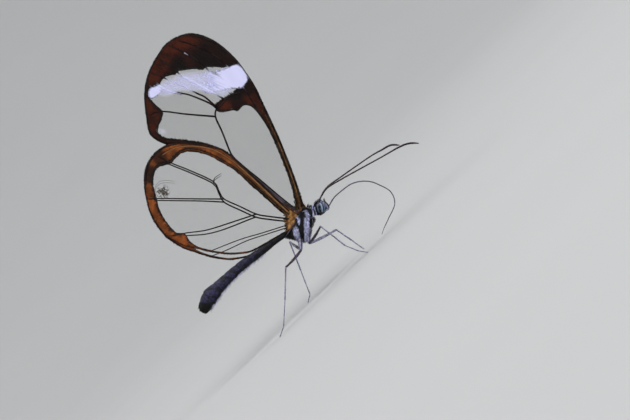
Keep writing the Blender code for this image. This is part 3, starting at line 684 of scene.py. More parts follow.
def wing_pattern_group():
    """The wing's colours and how much they cover, from distances kept on each wing and scale."""
    group = new_group(
        "wing pattern",
        (
            ("Dark", "Color", NEAR_BLACK), ("Rust", "Color", RUST), ("Gold", "Color", GOLD),
            ("Gold brown", "Color", GOLD_BROWN), ("Pale", "Color", LAVENDER_WHITE),
            ("Membrane", "Color", SMOKE), ("Clear cover", "Float", 0.05),
            ("Veil and highlight cover", "Float", 0.34), ("Scuff", "Color", SCUFF_BROWN),
            ("Sheen grey", "Color", MAUVE_SHEEN),
        ),
        (("Colour", "Color"), ("Cover", "Float"), ("Height", "Float")),
    )
    given = group.nodes.new("NodeGroupInput").outputs
    ragged = swing(group, noise(group, 2.6, 3.0), 0.3)
    lines = lined_noise(group)
    feather = swing(group, lines, 0.35)

    # The border: dark along its edges and veins, and rust, gold or grey between them. The grey is a
    # painted blue-grey sheen along the forewing's hind margin.
    window = plus(group, read(group, "window"), ragged)
    scaled = fade(group, window, 0.05, -0.05)
    edge = fade(group, plus(group, read(group, "rim"), ragged), *RIM_FADE)
    vein = times(group, fade(group, read(group, "vein"), *VEIN_FADE), 0.6)
    dark = most(group, edge, fade(group, window, *WINDOW_FADE), vein)
    blotch = fade(group, noise(group, 0.6, 3.0), 0.38, 0.62)
    blotch = plus(group, times(group, blotch, 0.6), 0.4)
    rusty = times(group, read(group, "rust"), blotch)
    rusty = times(group, rusty, maths(group, "SUBTRACT", 1.0, dark))
    streaked = fade(group, noise(group, 2.2, 3.0), 0.42, 0.58)
    gold = mix(group, streaked, given["Gold brown"], given["Gold"])
    tint = mix(group, read(group, "warm"), given["Rust"], gold)
    tint = mix(group, read(group, "grey"), tint, given["Sheen grey"])
    brown = mix(group, rusty, given["Dark"], tint)

    # White scales, and the thin white veil over the clear membrane beside them. One patch of the veil
    # is a painted highlight on the membrane.
    white = fade(group, plus(group, read(group, "white"), feather), -0.06, 0.16)
    streaky = plus(group, times(group, fade(group, lines, 0.40, 0.62), 0.5), 0.5)
    veil_and_highlight = times(group, fade(group, read(group, "veil_and_highlight"), -0.15, 0.8), streaky)
    streak = fade(group, plus(group, read(group, "streak"), feather), 0.27, 0.04)
    veil_and_highlight_cover = most(group, times(group, veil_and_highlight, given["Veil and highlight cover"]), times(group, streak, 0.9))
    clear = most(group, given["Clear cover"], veil_and_highlight_cover)
    light = most(group, fade(group, veil_and_highlight, 0.0, 0.3), streak)
    thin = mix(group, light, given["Membrane"], given["Pale"])
    colour = mix(group, scaled, thin, brown)
    colour = mix(group, white, colour, given["Pale"])
    cover = most(group, scaled, white, clear)

    # A scuffed patch on the clear membrane.
    scuff = times(group, read(group, "scuff"), fade(group, noise(group, 4.5), 0.48, 0.58))
    cover = most(group, cover, times(group, scuff, 0.85))
    colour = mix(group, scuff, colour, given["Scuff"])
    height = plus(group, noise(group, 6.0), times(group, cover, 0.6))
    out = group.nodes.new("NodeGroupOutput").inputs
    for label, socket in (("Colour", colour), ("Cover", cover), ("Height", height)):
        group.links.new(socket, out[label])
    return group


def body_pattern_group():
    """Colours of skin, hair and legs, from shares kept on each piece."""
    group = new_group(
        "body pattern",
        (
            ("Dark", "Color", BODY_BLACK), ("Slate", "Color", SLATE), ("Pale", "Color", BODY_PALE),
            ("Maroon", "Color", MAROON),
        ),
        (("Colour", "Color"), ("Height", "Float")),
    )
    given = group.nodes.new("NodeGroupInput").outputs
    # Slate in soft patches: partly the scales' own blue-grey and partly painted sheen on the abdomen.
    patches = fade(group, noise(group, 1.4, 3.0), 0.36, 0.60)
    speckle = plus(group, fade(group, noise(group, 7.0, 1.0), 0.40, 0.62), 0.35)
    slate = times(group, times(group, patches, speckle), read(group, "slate"))
    colour = mix(group, slate, given["Dark"], given["Slate"])
    colour = mix(group, read(group, "maroon"), colour, given["Maroon"])
    dulled = times(group, fade(group, noise(group, 3.0), 0.46, 0.64), 0.55)
    pale = mix(group, dulled, given["Pale"], given["Slate"])
    colour = mix(group, read(group, "pale"), colour, pale)
    colour = shaded(group, colour, 0.6, 1.5)
    out = group.nodes.new("NodeGroupOutput").inputs
    group.links.new(colour, out["Colour"])
    group.links.new(noise(group, 14.0, 3.0), out["Height"])
    return group


def use_group(tree, group, **values):
    made = tree.nodes.new("ShaderNodeGroup")
    made.node_tree = group
    for label, value in values.items():
        made.inputs[label.replace("_", " ")].default_value = value
    return made.outputs


def make_materials():
    wing_group = wing_pattern_group()
    body_group = body_pattern_group()
    made = {}

    for name, rust, clear in (("forewing", RUST, 0.055), ("hindwing", ORANGE_BROWN, 0.03)):
        material, tree, shader = new_material(name + " sheet", 0.5, IOR=1.4, Specular_IOR_Level=0.3)
        found = use_group(tree, wing_group, Rust=rust, Clear_cover=clear)
        tree.links.new(found["Colour"], shader.inputs["Base Color"])
        tree.links.new(found["Cover"], shader.inputs["Alpha"])
        join_bump(tree, shader, found["Height"], 0.012, 0.5)
        made[name] = material

        material, tree, shader = new_material(name + " scales", 0.6, IOR=1.4, Specular_IOR_Level=0.2)
        found = use_group(tree, wing_group, Rust=rust)
        colour = shaded(tree, found["Colour"], 0.7, 1.3)
        tree.links.new(colour, shader.inputs["Base Color"])
        join_bump(tree, shader, noise(tree, 30.0), 0.004, 0.5)
        made[name + " scales"] = material

    material, tree, shader = new_material("vein", 0.5, IOR=1.4, Specular_IOR_Level=0.25)
    colour = mix(tree, noise(tree, 3.0), VEIN_BLACK, VEIN_BROWN)
    colour = mix(tree, read(tree, "covered"), colour, VEIN_COVERED)
    colour = mix(tree, read(tree, "gold"), colour, VEIN_GOLD)
    colour = mix(tree, read(tree, "pale"), colour, LAVENDER_WHITE)
    tree.links.new(colour, shader.inputs["Base Color"])
    join_bump(tree, shader, noise(tree, 12.0), 0.01, 0.6)
    made["vein"] = material

    finishes = (
        ("skin", 0.5, 0.25), ("hair", 0.5, 0.25), ("abdomen scales", 0.5, 0.25), ("leg", 0.4, 0.4),
    )
    for name, roughness, gloss in finishes:
        material, tree, shader = new_material(name, roughness, IOR=1.5, Specular_IOR_Level=gloss)
        found = use_group(tree, body_group)
        tree.links.new(found["Colour"], shader.inputs["Base Color"])
        join_bump(tree, shader, found["Height"], 0.01, 0.6)
        made[name] = material

    material, tree, shader = new_material("eye", 0.2, IOR=1.4, Specular_IOR_Level=0.3)
    place = add_node(tree, "TexCoord").outputs["Object"]
    facets = add_node(
        tree, "TexVoronoi", {"Vector": place, "Scale": 26.0 / MM, "Randomness": 0.25},
        distance="EUCLIDEAN",
    ).outputs["Distance"]
    # Painted highlights: the eye's slate share marks pale blue reflection bands over the black eye.
    colour = mix(tree, read(tree, "slate"), EYE_BLACK, EYE_HIGHLIGHT_BLUE)
    seams = times(tree, fade(tree, facets, 0.2, 0.7), 0.6)
    colour = mix(tree, seams, colour, EYE_SEAM)
    tree.links.new(colour, shader.inputs["Base Color"])
    join_bump(tree, shader, maths(tree, "SUBTRACT", 1.0, facets), 0.01, 0.5)
    made["eye"] = material
    return made


def make_stage():
    """A floor that bends up into a wall, in one pale matt finish."""
    bm = bmesh.new()
    profile = [(0.0, 0.0), (FLOOR_RADIUS, 0.0)]
    for k in range(1, BEND_STEPS + 1):
        turn = math.pi / 2 * k / BEND_STEPS
        profile.append((FLOOR_RADIUS + WALL_BEND * math.sin(turn), WALL_BEND * (1 - math.cos(turn))))
    profile.append((FLOOR_RADIUS + WALL_BEND, WALL_HEIGHT))
    verts = [bm.verts.new((x, 0.0, z)) for x, z in profile]
    edges = [bm.edges.new(pair) for pair in zip(verts, verts[1:])]
    bmesh.ops.spin(
        bm, geom=[*verts, *edges], cent=(0, 0, 0), axis=(0, 0, 1), angle=2 * math.pi,
        steps=FLOOR_SIDES, use_merge=True,
    )
    bmesh.ops.remove_doubles(bm, verts=bm.verts, dist=1e-5)
    for face in bm.faces:
        face.smooth = True
    mesh = bpy.data.meshes.new("floor")
    bm.to_mesh(mesh)
    bm.free()
    if mesh.polygons[0].normal.z < 0:
        mesh.flip_normals()
    floor = bpy.data.objects.new("floor", mesh)
    bpy.context.scene.collection.objects.link(floor)
    material, tree, shader = new_material("pale matt floor", 0.9)
    darkest, lightest = FLOOR_GREY
    inputs = {"Value": noise(tree, 0.02), "To Min": darkest, "To Max": lightest}
    fine = add_node(tree, "MapRange", inputs).outputs[0]
    grey = add_node(tree, "CombineColor", {"Red": fine, "Green": fine, "Blue": fine})
    tree.links.new(grey.outputs[0], shader.inputs["Base Color"])
    mesh.materials.append(material)


def make_lights():
    for name, (place, size, power) in LIGHTS.items():
        light = bpy.data.lights.new(name, "AREA")
        light.shape = "DISK"
        light.size = size
        light.energy = power
        lamp = bpy.data.objects.new(name, light)
        lamp.location = place
        aim = Vector(LIGHT_TARGET) - Vector(place)
        lamp.rotation_euler = aim.to_track_quat("-Z", "Y").to_euler()
        bpy.context.scene.collection.objects.link(lamp)
    world = bpy.data.worlds.new("studio")
    world.use_nodes = True
    world.node_tree.nodes["Background"].inputs["Color"].default_value = SKY_COLOUR
    world.node_tree.nodes["Background"].inputs["Strength"].default_value = SKY_STRENGTH
    bpy.context.scene.world = world
    bpy.context.scene.view_settings.view_transform = "Standard"


def make_camera():
    turn, tilt, roll = map(math.radians, (CAMERA_TURN, CAMERA_TILT, CAMERA_ROLL))
    look = Vector((
        math.sin(turn) * math.cos(tilt), math.cos(turn) * math.cos(tilt), -math.sin(tilt),
    ))
    level = look.cross((0, 0, 1)).normalized()
    upright = level.cross(look)
    right = level * math.cos(roll) - upright * math.sin(roll)
    top = level * math.sin(roll) + upright * math.cos(roll)
    lens = bpy.data.cameras.new("camera")
    lens.sensor_width = SENSOR_WIDTH
    lens.lens = SENSOR_WIDTH * CAMERA_DISTANCE / PICTURE_WIDTH
    lens.clip_start = 0.01
    camera = bpy.data.objects.new("camera", lens)
    matrix = Matrix((right, top, -look)).transposed().to_4x4()
    matrix.translation = IN_FRAME @ (Vector(CAMERA_TARGET) - look * CAMERA_DISTANCE)
    camera.matrix_world = matrix
    bpy.context.scene.collection.objects.link(camera)
    bpy.context.scene.camera = camera


# Making pieces

def finish_piece(mesh, material, replaced, masks):
    """A mesh put in its place in the frame as the piece of its name, with its masks."""
    for label, values in masks.items():
        layer = mesh.attributes.new(label, "FLOAT", "POINT")
        layer.data.foreach_set("value", np.asarray(values, np.float32))
    mesh.transform(IN_FRAME)
    mesh.materials.append(material)
    piece = bpy.data.objects.new(mesh.name, mesh)
    bpy.context.scene.collection.objects.link(piece)
    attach(piece, "root")
    if replaced:
        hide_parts(*replaced)


def mesh_of(bm, name):
    bmesh.ops.recalc_face_normals(bm, faces=bm.faces)
    for face in bm.faces:
        face.smooth = True
    mesh = bpy.data.meshes.new(name)
    bm.to_mesh(mesh)
    bm.free()
    return mesh


def places_of(mesh):
    places = np.empty(len(mesh.vertices) * 3)
    mesh.vertices.foreach_get("co", places)
    return places.reshape(-1, 3)


def draw_out(bm, rings):
    """A closed body through rings of points: a capped ring extruded from one to the next."""
    made = bmesh.ops.create_circle(bm, cap_ends=True, segments=len(rings[0]), radius=1.0)
    cap = made["verts"][0].link_faces[0]
    for k, places in enumerate(rings):
        if k:
            grown = bmesh.ops.extrude_face_region(bm, geom=[cap])["geom"]
            cap = next(part for part in grown if isinstance(part, bmesh.types.BMFace))
        for vert, place in zip(cap.verts, places):
            vert.co = place


def rings_along(route, radii, sides, groove=0.0):
    """Rings of points round a route, which don't twist."""
    route = [Vector(place) for place in route]
    rings = []
    for k, place in enumerate(route):
        ahead = route[min(k + 1, len(route) - 1)] - route[max(k - 1, 0)]
        if k == 0:
            turn = ahead.to_track_quat("Z", "Y")
        else:
            turn = (turn @ Vector((0, 0, 1))).rotation_difference(ahead) @ turn
        ring = []
        for s in range(sides):
            angle = 2 * math.pi * s / sides
            size = radii[k] * (1.0 - groove * math.cos(angle) ** 8)
            spot = Vector((math.cos(angle) * size, math.sin(angle) * size, 0.0))
            ring.append(place + turn @ spot)
        rings.append(ring)
    return rings


def make_tube(name, line, radii, sides, groove=0.0):
    """A closed tube along a line, with a groove along it where wanted."""
    bm = bmesh.new()
    draw_out(bm, rings_along(line, radii, sides, groove))
    return mesh_of(bm, name)


def add_segment(bm, start, end, profile, sides, arch=0.0):
    """A limb's segment, arched up by its middle, and its route.

    The profile is shares of the segment's length with the radius there.
    """
    raised = Vector((0.0, 0.0, arch))
    route = []
    for share, _ in profile:
        route.append(start.lerp(end, share) + raised * (4.0 * share * (1.0 - share)))
    draw_out(bm, rings_along(route, [radius for _, radius in profile], sides))
    return route


# A blade has a triangle at its root, a wider one along it and a tip.
BLADE_POINTS = 7
BLADE_WIDEST = 0.62
BLADE_FACES = np.array((
    (0, 3, 4), (0, 4, 1), (1, 4, 5), (1, 5, 2), (2, 5, 3), (2, 3, 0), (0, 1, 2),
    (3, 6, 4), (4, 6, 5), (5, 6, 3),
))


def blades(name, roots, along, out, length, width, thick, rise, unwrapped, root_share=0.45):
    """Closed pointed blades as one mesh, each with its own patch of the OFBake map.

    Roots, directions and outward normals are rows, one for each blade. Sizes are one value for
    all blades or one for each. A blade starts a little under the skin and its tip rises from it.
    """
    count = len(roots)
    length, width, thick, rise = (
        np.broadcast_to(np.asarray(value, float), (count,))[:, None]
        for value in (length, width, thick, rise)
    )
    out = out / np.linalg.norm(out, axis=1, keepdims=True)
    along = along - out * np.sum(along * out, axis=1, keepdims=True)
    along = along / np.maximum(np.linalg.norm(along, axis=1, keepdims=True), 1e-9)
    side = np.cross(along, out)
    start = roots - out * thick
    middle = roots + along * length * BLADE_WIDEST + out * rise * 0.5
    tip = roots + along * length + out * rise
    half = width / 2
    corners = np.stack([
        start - side * half * root_share, start + side * half * root_share, start + out * thick * 1.5,
        middle - side * half, middle + side * half, middle + out * thick, tip,
    ], axis=1)
    faces = (BLADE_FACES[None] + BLADE_POINTS * np.arange(count)[:, None, None]).reshape(-1, 3)
    mesh = bpy.data.meshes.new(name)
    mesh.from_pydata(corners.reshape(-1, 3).tolist(), [], faces.tolist())
    spots = np.array((
        (0.3, 0.0), (0.7, 0.0), (0.5, 0.1), (0.0, 0.6), (1.0, 0.6), (0.5, 0.6), (0.5, 1.0),
    ))
    flat = (unwrapped[:, None, :] + PATCH * (spots[None] - 0.5)).reshape(-1, 2)
    layer = mesh.uv_layers.new(name="OFBake")
    layer.data.foreach_set("uv", flat[faces.reshape(-1)].astype(np.float32).reshape(-1))
    return mesh


def per_blade(masks):
    """Masks for each blade, spread to the blade's points."""
    return {label: np.repeat(values, BLADE_POINTS) for label, values in masks.items()}


# Wings

def wing_lines(wing):
    """The wing's outlines and veins as smooth lines."""
    return {
        "outline": smooth(wing["outline"], 0.25, closed=True),
        "window": smooth(wing["window"], 0.25, closed=True),
        "white": [smooth(shape, 0.25, closed=True) for shape in wing["white"]],
        "veil_and_highlight": [smooth(shape, 0.25, closed=True) for shape in wing["veil_and_highlight"]],
        "streaks": [smooth(line, 0.4) for line in wing["streaks"]],
        "veins": [smooth(vein[2], 0.45) for vein in wing["veins"]],
    }


def wing_masks(wing, lines, places):
    """Distances and shares of the wing's pattern at places in side view."""
    rim = depth_inside(places, lines["outline"])
    reach = distance_from(places, wing["hinge"])
    white = np.full(len(places), -FAR)
    for shape, (gone, whole) in zip(lines["white"], wing["white_fade"]):
        step = np.array(whole) - np.array(gone)
        share = (places - np.array(gone)) @ step / (step @ step)
        white = np.maximum(white, np.minimum(depth_inside(places, shape), 0.3 * share - 0.1))
    # The veil: thin white scales, and one patch that is a painted highlight.
    veil_and_highlight = np.full(len(places), -FAR)
    for shape in lines["veil_and_highlight"]:
        veil_and_highlight = np.maximum(veil_and_highlight, depth_inside(places, shape))
    least = wing["rust_share"]
    rust = least + (1.0 - least) * ramp(-np.abs(rim - 1.0), -1.4, -0.5)
    for x, z, radius in wing["gloomy"]:
        gap = distance_from(places, (x, z)) / radius
        rust *= 1.0 - 0.85 * ramp(-gap, -1.0, -0.5)
    for x, z, radius in wing["rusty"]:
        gap = distance_from(places, (x, z)) / radius
        rust = np.maximum(rust, 1.3 * ramp(-gap, -1.0, -0.3))
    # Painted sheen: blue-grey behind the sheen side line, fading out towards its upper end.
    grey = np.zeros(len(places))
    if wing["sheen_side"]:
        line = np.array(wing["sheen_side"])
        ahead = places[:, 0] - np.interp(places[:, 1], line[:, 1], line[:, 0])
        grey = ramp(-ahead, -0.12, 0.0) * ramp(line[-1, 1] - places[:, 1], 0.0, 3.0)
    scuffed = ramp(-distance_from(places, SCUFF), -SCUFF_RADIUS, -0.2)
    near, end = wing["warm_reach"]
    outer, inner = FINER_REACH
    finer = 1.0 + EDGE_FINER * ramp(-reach, -outer, -inner)
    return {
        "rim": rim * finer,
        "window": depth_inside(places, lines["window"]) * finer,
        "grey": grey,
        "white": white,
        "veil_and_highlight": veil_and_highlight,
        "streak": distance_to_any(places, lines["streaks"]),
        "vein": distance_to_any(places, lines["veins"]),
        "warm": wing["warm_most"] * ramp(-reach, -end, -near),
        "rust": rust,
        "scuff": scuffed * (wing["name"] == "hindwing"),
    }


def wing_y(wing, lines, places):
    """How far the wing's middle layer is from the body's middle plane."""
    reach = distance_from(places, wing["hinge"])
    nearest = distance_to_any(places, lines["veins"])
    sag = SAG * (1.0 - np.exp(-((nearest / SAG_REACH) ** 2)))
    (high, high_turn), (long, long_turn) = CAMBER
    camber = high * np.sin(places[:, 1] * high_turn) + long * np.sin(places[:, 0] * long_turn)
    camber *= ramp(reach, 1.0, 8.0)
    return wing["plane_y"] + wing["flare"] * np.exp(-reach / wing["flare_reach"]) + camber - sag


def wing_sheet(lines, name):
    """A thin sheet in the wing's outline, cut into small cells in side view."""
    bm = bmesh.new()
    outline = lines["outline"]
    bm.faces.new([bm.verts.new((x, 0.0, z)) for x, z in outline])
    low, high = outline.min(axis=0), outline.max(axis=0)
    for axis, normal in ((0, (1, 0, 0)), (1, (0, 0, 1))):
        for value in np.arange(low[axis] + SHEET_CELL, high[axis], SHEET_CELL):
            spot = (value, 0.0, 0.0) if axis == 0 else (0.0, 0.0, value)
            bmesh.ops.bisect_plane(
                bm, geom=[*bm.verts, *bm.edges, *bm.faces], dist=1e-5, plane_co=spot,
                plane_no=normal,
            )
    bmesh.ops.solidify(bm, geom=list(bm.faces), thickness=SHEET_THICK)
    return mesh_of(bm, name)


def on_wing(wing, lines, side, flat, above=0.0):
    """Places on a wing of one side from its side view, above its middle layer where wanted."""
    low = ramp(-flat[:, 1], -DROOP_FROM, -DROOP_TO)[:, None]
    free = ramp(distance_from(flat, wing["hinge"]), *LAG_REACH)[:, None]
    free = LAG_LEAST + (1.0 - LAG_LEAST) * free
    shift = (np.array(wing["far_lag"]) + low * np.array(wing["far_droop"])) * free
    shifted = flat + shift * (side == "left")
    y = SIDES[side] * (wing_y(wing, lines, flat) + above)
    return np.stack([shifted[:, 0], y, shifted[:, 1]], axis=1)


def place_wing(mesh, wing, lines, side):
    """Moves a flat wing mesh out to its side, with its camber, and returns its side view."""
    places = places_of(mesh)
    flat = places[:, (0, 2)].copy()
    placed = on_wing(wing, lines, side, flat, places[:, 1])
    mesh.vertices.foreach_set("co", placed.reshape(-1))
    return flat


def finish_outward(mesh):
    """Points the faces of a closed mesh outwards."""
    bm = bmesh.new()
    bm.from_mesh(mesh)
    bmesh.ops.recalc_face_normals(bm, faces=bm.faces)
    bm.to_mesh(mesh)
    bm.free()


def make_wing_sheet(wing, lines, side, materials):
    node = wing["name"] + "_" + side
    mesh = wing_sheet(lines, node + "_sheet")
    flat = place_wing(mesh, wing, lines, side)
    if SIDES[side] > 0:
        mesh.flip_normals()
    finish_outward(mesh)
    finish_piece(mesh, materials[wing["name"]], (node,), wing_masks(wing, lines, flat))


def make_veins(wing, lines, side, materials):
    """Raised tubes along the veins and the wing's margin, as one piece."""
    bm = bmesh.new()
    found = {"pale": [], "gold": [], "covered": []}
    margin = (MARGIN_RADIUS / VEIN_GIRTH, MARGIN_RADIUS / VEIN_GIRTH, None)
    tubes = zip([*wing["veins"], margin], [*lines["veins"], lines["outline"]])
    for (first, last, _, *finish), line in tubes:
        masks = wing_masks(wing, lines, line)
        pale, gold = VEIN_FINISHES[finish[0] if finish else "plain"]
        hidden = np.maximum(ramp(masks["white"], -0.1, 0.15), ramp(masks["veil_and_highlight"], -0.1, 0.35))
        radii = np.linspace(first, last, len(line)) * VEIN_GIRTH * (1.0 - 0.65 * hidden)
        radii[-1] *= 0.3
        draw_out(bm, rings_along(on_wing(wing, lines, side, line), radii, VEIN_SIDES))
        found["pale"].append(np.maximum(pale, hidden))
        found["gold"].append(np.full(len(line), gold))
        found["covered"].append(ramp(-masks["window"], -0.05, 0.15))
    mesh = mesh_of(bm, wing["name"] + "_" + side + "_veins")
    masks = {label: np.repeat(np.concatenate(values), VEIN_SIDES) for label, values in found.items()}
    finish_piece(mesh, materials["vein"], (), masks)


def wing_roots(lines):
    """Even but unruly roots for the wing's scales, in side view."""
    outline = lines["outline"]
    low, high = outline.min(axis=0), outline.max(axis=0)
    x, z = np.meshgrid(
        np.arange(low[0], high[0], SCALE_STEP), np.arange(low[1], high[1], SCALE_STEP),
    )
    roots = np.stack([x.ravel(), z.ravel()], axis=1)
    roots += RANDOM.uniform(-0.5, 0.5, roots.shape) * SCALE_STEP
    return roots[depth_inside(roots, outline) > SCALE_INSET]


def lay_on_wing(wing, lines, side, kind, materials, roots, unrest, length, width, rise, masks):
    """Lays scales or hairs on a wing's outer face, pointing away from its hinge."""
    count = len(roots)
    reach = roots - np.array(wing["hinge"])
    angle = np.arctan2(reach[:, 1], reach[:, 0]) + RANDOM.normal(0.0, unrest, count)
    along = np.stack([np.cos(angle), np.zeros(count), np.sin(angle)], axis=1)
    out = np.tile((0.0, float(SIDES[side]), 0.0), (count, 1))
    places = on_wing(wing, lines, side, roots, SHEET_THICK * 0.5)
    low, high = lines["outline"].min(axis=0), lines["outline"].max(axis=0)
    unwrapped = 0.02 + 0.96 * (roots - low) / (high - low).max()
    name = "_".join((wing["name"], side, kind))
    mesh = blades(name, places, along, out, length, width, SCALE_THICK, rise, unwrapped, 0.6)
    finish_piece(mesh, materials[wing["name"] + " scales"], (), per_blade(masks))


def make_wing_scales(wing, lines, side, materials):
    """Vanes over the brown and white parts of a wing's outer face, lying towards its edge."""
    roots = wing_roots(lines)
    masks = wing_masks(wing, lines, roots)
    jitter = RANDOM.normal(0.0, 0.06, len(roots))
    masks["window"] = masks["window"] + jitter
    masks["white"] = masks["white"] + jitter
    kept = (masks["window"] < 0.0) | (masks["white"] > RANDOM.uniform(0.0, 0.14, len(roots)))
    roots = roots[kept]
    masks = {label: values[kept] for label, values in masks.items()}
    count = len(roots)
    near_base = ramp(-distance_from(roots, wing["hinge"]), -3.0, -0.8)
    whiteness = ramp(masks["white"], -0.05, 0.1)
    size = RANDOM.uniform(0.85, 1.15, count) * (1.0 + 0.9 * near_base)
    rise = RANDOM.uniform(0.02, 0.05, count) * (1.0 - 0.7 * whiteness) * (1.0 + near_base)
    width = SCALE_WIDTH * size * (1.0 - 0.6 * near_base)
    masks["shade"] = 0.5 + RANDOM.uniform(-0.5, 0.5, count) * (1.0 - 0.8 * whiteness)
    lay_on_wing(
        wing, lines, side, "scales", materials, roots, SCALE_UNREST, SCALE_LENGTH * size, width,
        rise, masks,
    )


def make_wing_hairs(wing, lines, side, materials):
    """Fine hairs on the clear membrane and a fringe of narrow scales along the margin."""
    low, high = lines["outline"].min(axis=0), lines["outline"].max(axis=0)
    spots = RANDOM.uniform(low, high, (int(np.prod(high - low) * HAIRS_PER_MM2), 2))
    spots = spots[depth_inside(spots, lines["window"]) > 0.1]
    edge = smooth(wing["outline"], FRINGE_STEP, closed=True)
    edge = edge[distance_from(edge, wing["hinge"]) > FRINGE_FROM]
    edge = edge + RANDOM.normal(0.0, FRINGE_SCATTER, edge.shape)
    roots = np.vstack([spots, edge])
    fringe = np.arange(len(roots)) >= len(spots)
    masks = wing_masks(wing, lines, roots)
    under_veil_and_highlight = ramp(masks["veil_and_highlight"], 0.0, 0.4)
    hair = ~fringe & (masks["white"] < 0.0)
    masks["window"] = np.where(fringe | hair, -0.1, masks["window"])
    masks["rim"] = np.where(fringe, 0.0, masks["rim"])
    masks["white"] = np.where(hair & (under_veil_and_highlight > 0.0), 1.0, masks["white"])
    masks["shade"] = RANDOM.uniform(0.2, 0.8, len(roots))
    fringe_length = RANDOM.uniform(*FRINGE_LENGTH, len(roots))
    length = np.where(fringe, fringe_length, HAIR_LENGTH + 0.08 * under_veil_and_highlight)
    width = np.where(fringe, FRINGE_WIDTH, HAIR_WIDTH)
    lay_on_wing(
        wing, lines, side, "hairs", materials, roots, HAIR_UNREST, length, width, HAIR_RISE, masks,
    )


# Body

def segment_phase(x):
    """How far along its own segment of the abdomen each x is, as a share."""
    return np.clip((x - WAIST_X) / (BODY[-1][0] - WAIST_X), 0.0, 1.0) * SEGMENTS % 1.0


def body_table():
    """Stations of the body's skin, close together and with its segments, x rising."""
    rows = smooth(BODY, BODY_STEP)
    x = rows[:, 0]
    behind_waist = ramp(-x, -WAIST_X, -WAIST_X + 0.4)
    step = 1.0 - SEGMENT_STEP * (1.0 - ramp(segment_phase(x), 0.0, 0.35)) * behind_waist
    rows[:, 2:] *= step[:, None]
    return rows[np.argsort(x)]


def body_at(table, x, turn):
    """Places and outward normals of the body's skin at x, turned from the top to the left."""
    slopes = np.gradient(table[:, 1:], table[:, 0], axis=0)
    z, high, wide = (np.interp(x, table[:, 0], table[:, k]) for k in (1, 2, 3))
    dz, dhigh, dwide = (np.interp(x, table[:, 0], slopes[:, k]) for k in (0, 1, 2))
    s, c = np.sin(turn), np.cos(turn)
    places = np.stack([x, wide * s, z + high * c], axis=1)
    ahead = -(s * s) * dwide / wide - c * dz / high - (c * c) * dhigh / high
    normals = np.stack([ahead, s / wide, c / high], axis=1)
    return places, normals / np.linalg.norm(normals, axis=1, keepdims=True)


def share_on_bands(flat, bands, whole, gone, least=0.0):
    """How strongly each place lies on a band, in side view.

    A band is half width, strength and line. It is whole and gone at these shares of its half
    width from the line.
    """
    found = np.full(len(flat), least)
    for half, strength, line in bands:
        gap = distance_to(flat, np.array(line, float))
        found = np.maximum(found, strength * (1.0 - ramp(gap, half * whole, half * gone)))
    return found


def body_masks(places):
    """Shares of pale, slate and maroon over the body's skin and hair."""
    x, z = places[:, 0], places[:, 2]
    flat = places[:, (0, 2)]
    pale = share_on_bands(flat, STRIPES, 0.75, 1.15)
    for spot in WHITE_SPOTS:
        gap = distance_from(flat, spot)
        pale = np.maximum(pale, 1.2 * (1.0 - ramp(gap, SPOT_RADIUS * 0.6, SPOT_RADIUS)))
    pale *= ramp(np.abs(places[:, 1]), 0.15, 0.4)
    abdomen = ramp(-x, 3.6, 4.4)
    belly = np.interp(-x, *zip(*BELLY_LINE))
    under = ramp(belly - z, -0.10, 0.06) * abdomen * ramp(x, TIP_X, -17.0)
    pale = np.maximum(pale, 0.06 * under)
    # Slate grows towards the rear and on the upper side of the abdomen: partly the scales' blue-grey
    # and partly painted sheen where the light catches them.
    slate = 0.2 + 0.8 * abdomen * ramp(-x, 5.0, 12.0)
    slate *= ramp(x + TIP_SLANT * (z - 10.1), TIP_X - 0.3, TIP_X + 0.1)
    slate *= 0.25 + 0.75 * ramp(z - belly, 0.1, 0.7)
    slate *= 1.0 - 0.7 * abdomen * (1.0 - ramp(np.abs(segment_phase(x) - 0.5), 0.5, 0.38))
    maroon = share_on_bands(flat, MAROON_STRIPES, 0.75, 1.15)
    return {"pale": pale, "slate": slate, "maroon": maroon}


def make_skin(table, materials):
    """One skin from the head to the tip of the abdomen."""
    turns = np.linspace(0.0, 2.0 * math.pi, BODY_SIDES, endpoint=False)
    rings = []
    for row in table[::-1]:
        places, _ = body_at(table, np.full(BODY_SIDES, row[0]), turns)
        rings.append([Vector(place) for place in places])
    bm = bmesh.new()
    draw_out(bm, rings)
    mesh = mesh_of(bm, "body_skin")
    masks = body_masks(places_of(mesh))
    masks["pale"] = masks["pale"] * 0.6
    masks["shade"] = np.full(len(mesh.vertices), 0.4)
    finish_piece(mesh, materials["skin"], ("thorax", "head", "abdomen"), masks)


def unwrap_body(x, turn):
    """Places on the unwrap of the body: along it and round it."""
    low, high = BODY[-1][0], BODY[0][0]
    along = 0.01 + 0.98 * (x - low) / (high - low)
    return np.stack([along, 0.01 + 0.98 * turn / (2 * math.pi)], axis=1)


def spread_over_body(table, low, high, per_mm2):
    """Random roots over the skin between two x places, about even in area."""
    girth = 2 * math.pi * max(
        np.interp(np.linspace(low, high, 40), table[:, 0], table[:, k]).max() for k in (2, 3)
    )
    count = int(girth * (high - low) * per_mm2)
    x = RANDOM.uniform(low, high, count)
    turn = RANDOM.uniform(0.0, 2 * math.pi, count)
    high_there = np.interp(x, table[:, 0], table[:, 2])
    wide_there = np.interp(x, table[:, 0], table[:, 3])
    around = 2 * math.pi * (high_there + wide_there) / 2
    kept = RANDOM.uniform(0.0, girth, count) < around
    return x[kept], turn[kept]


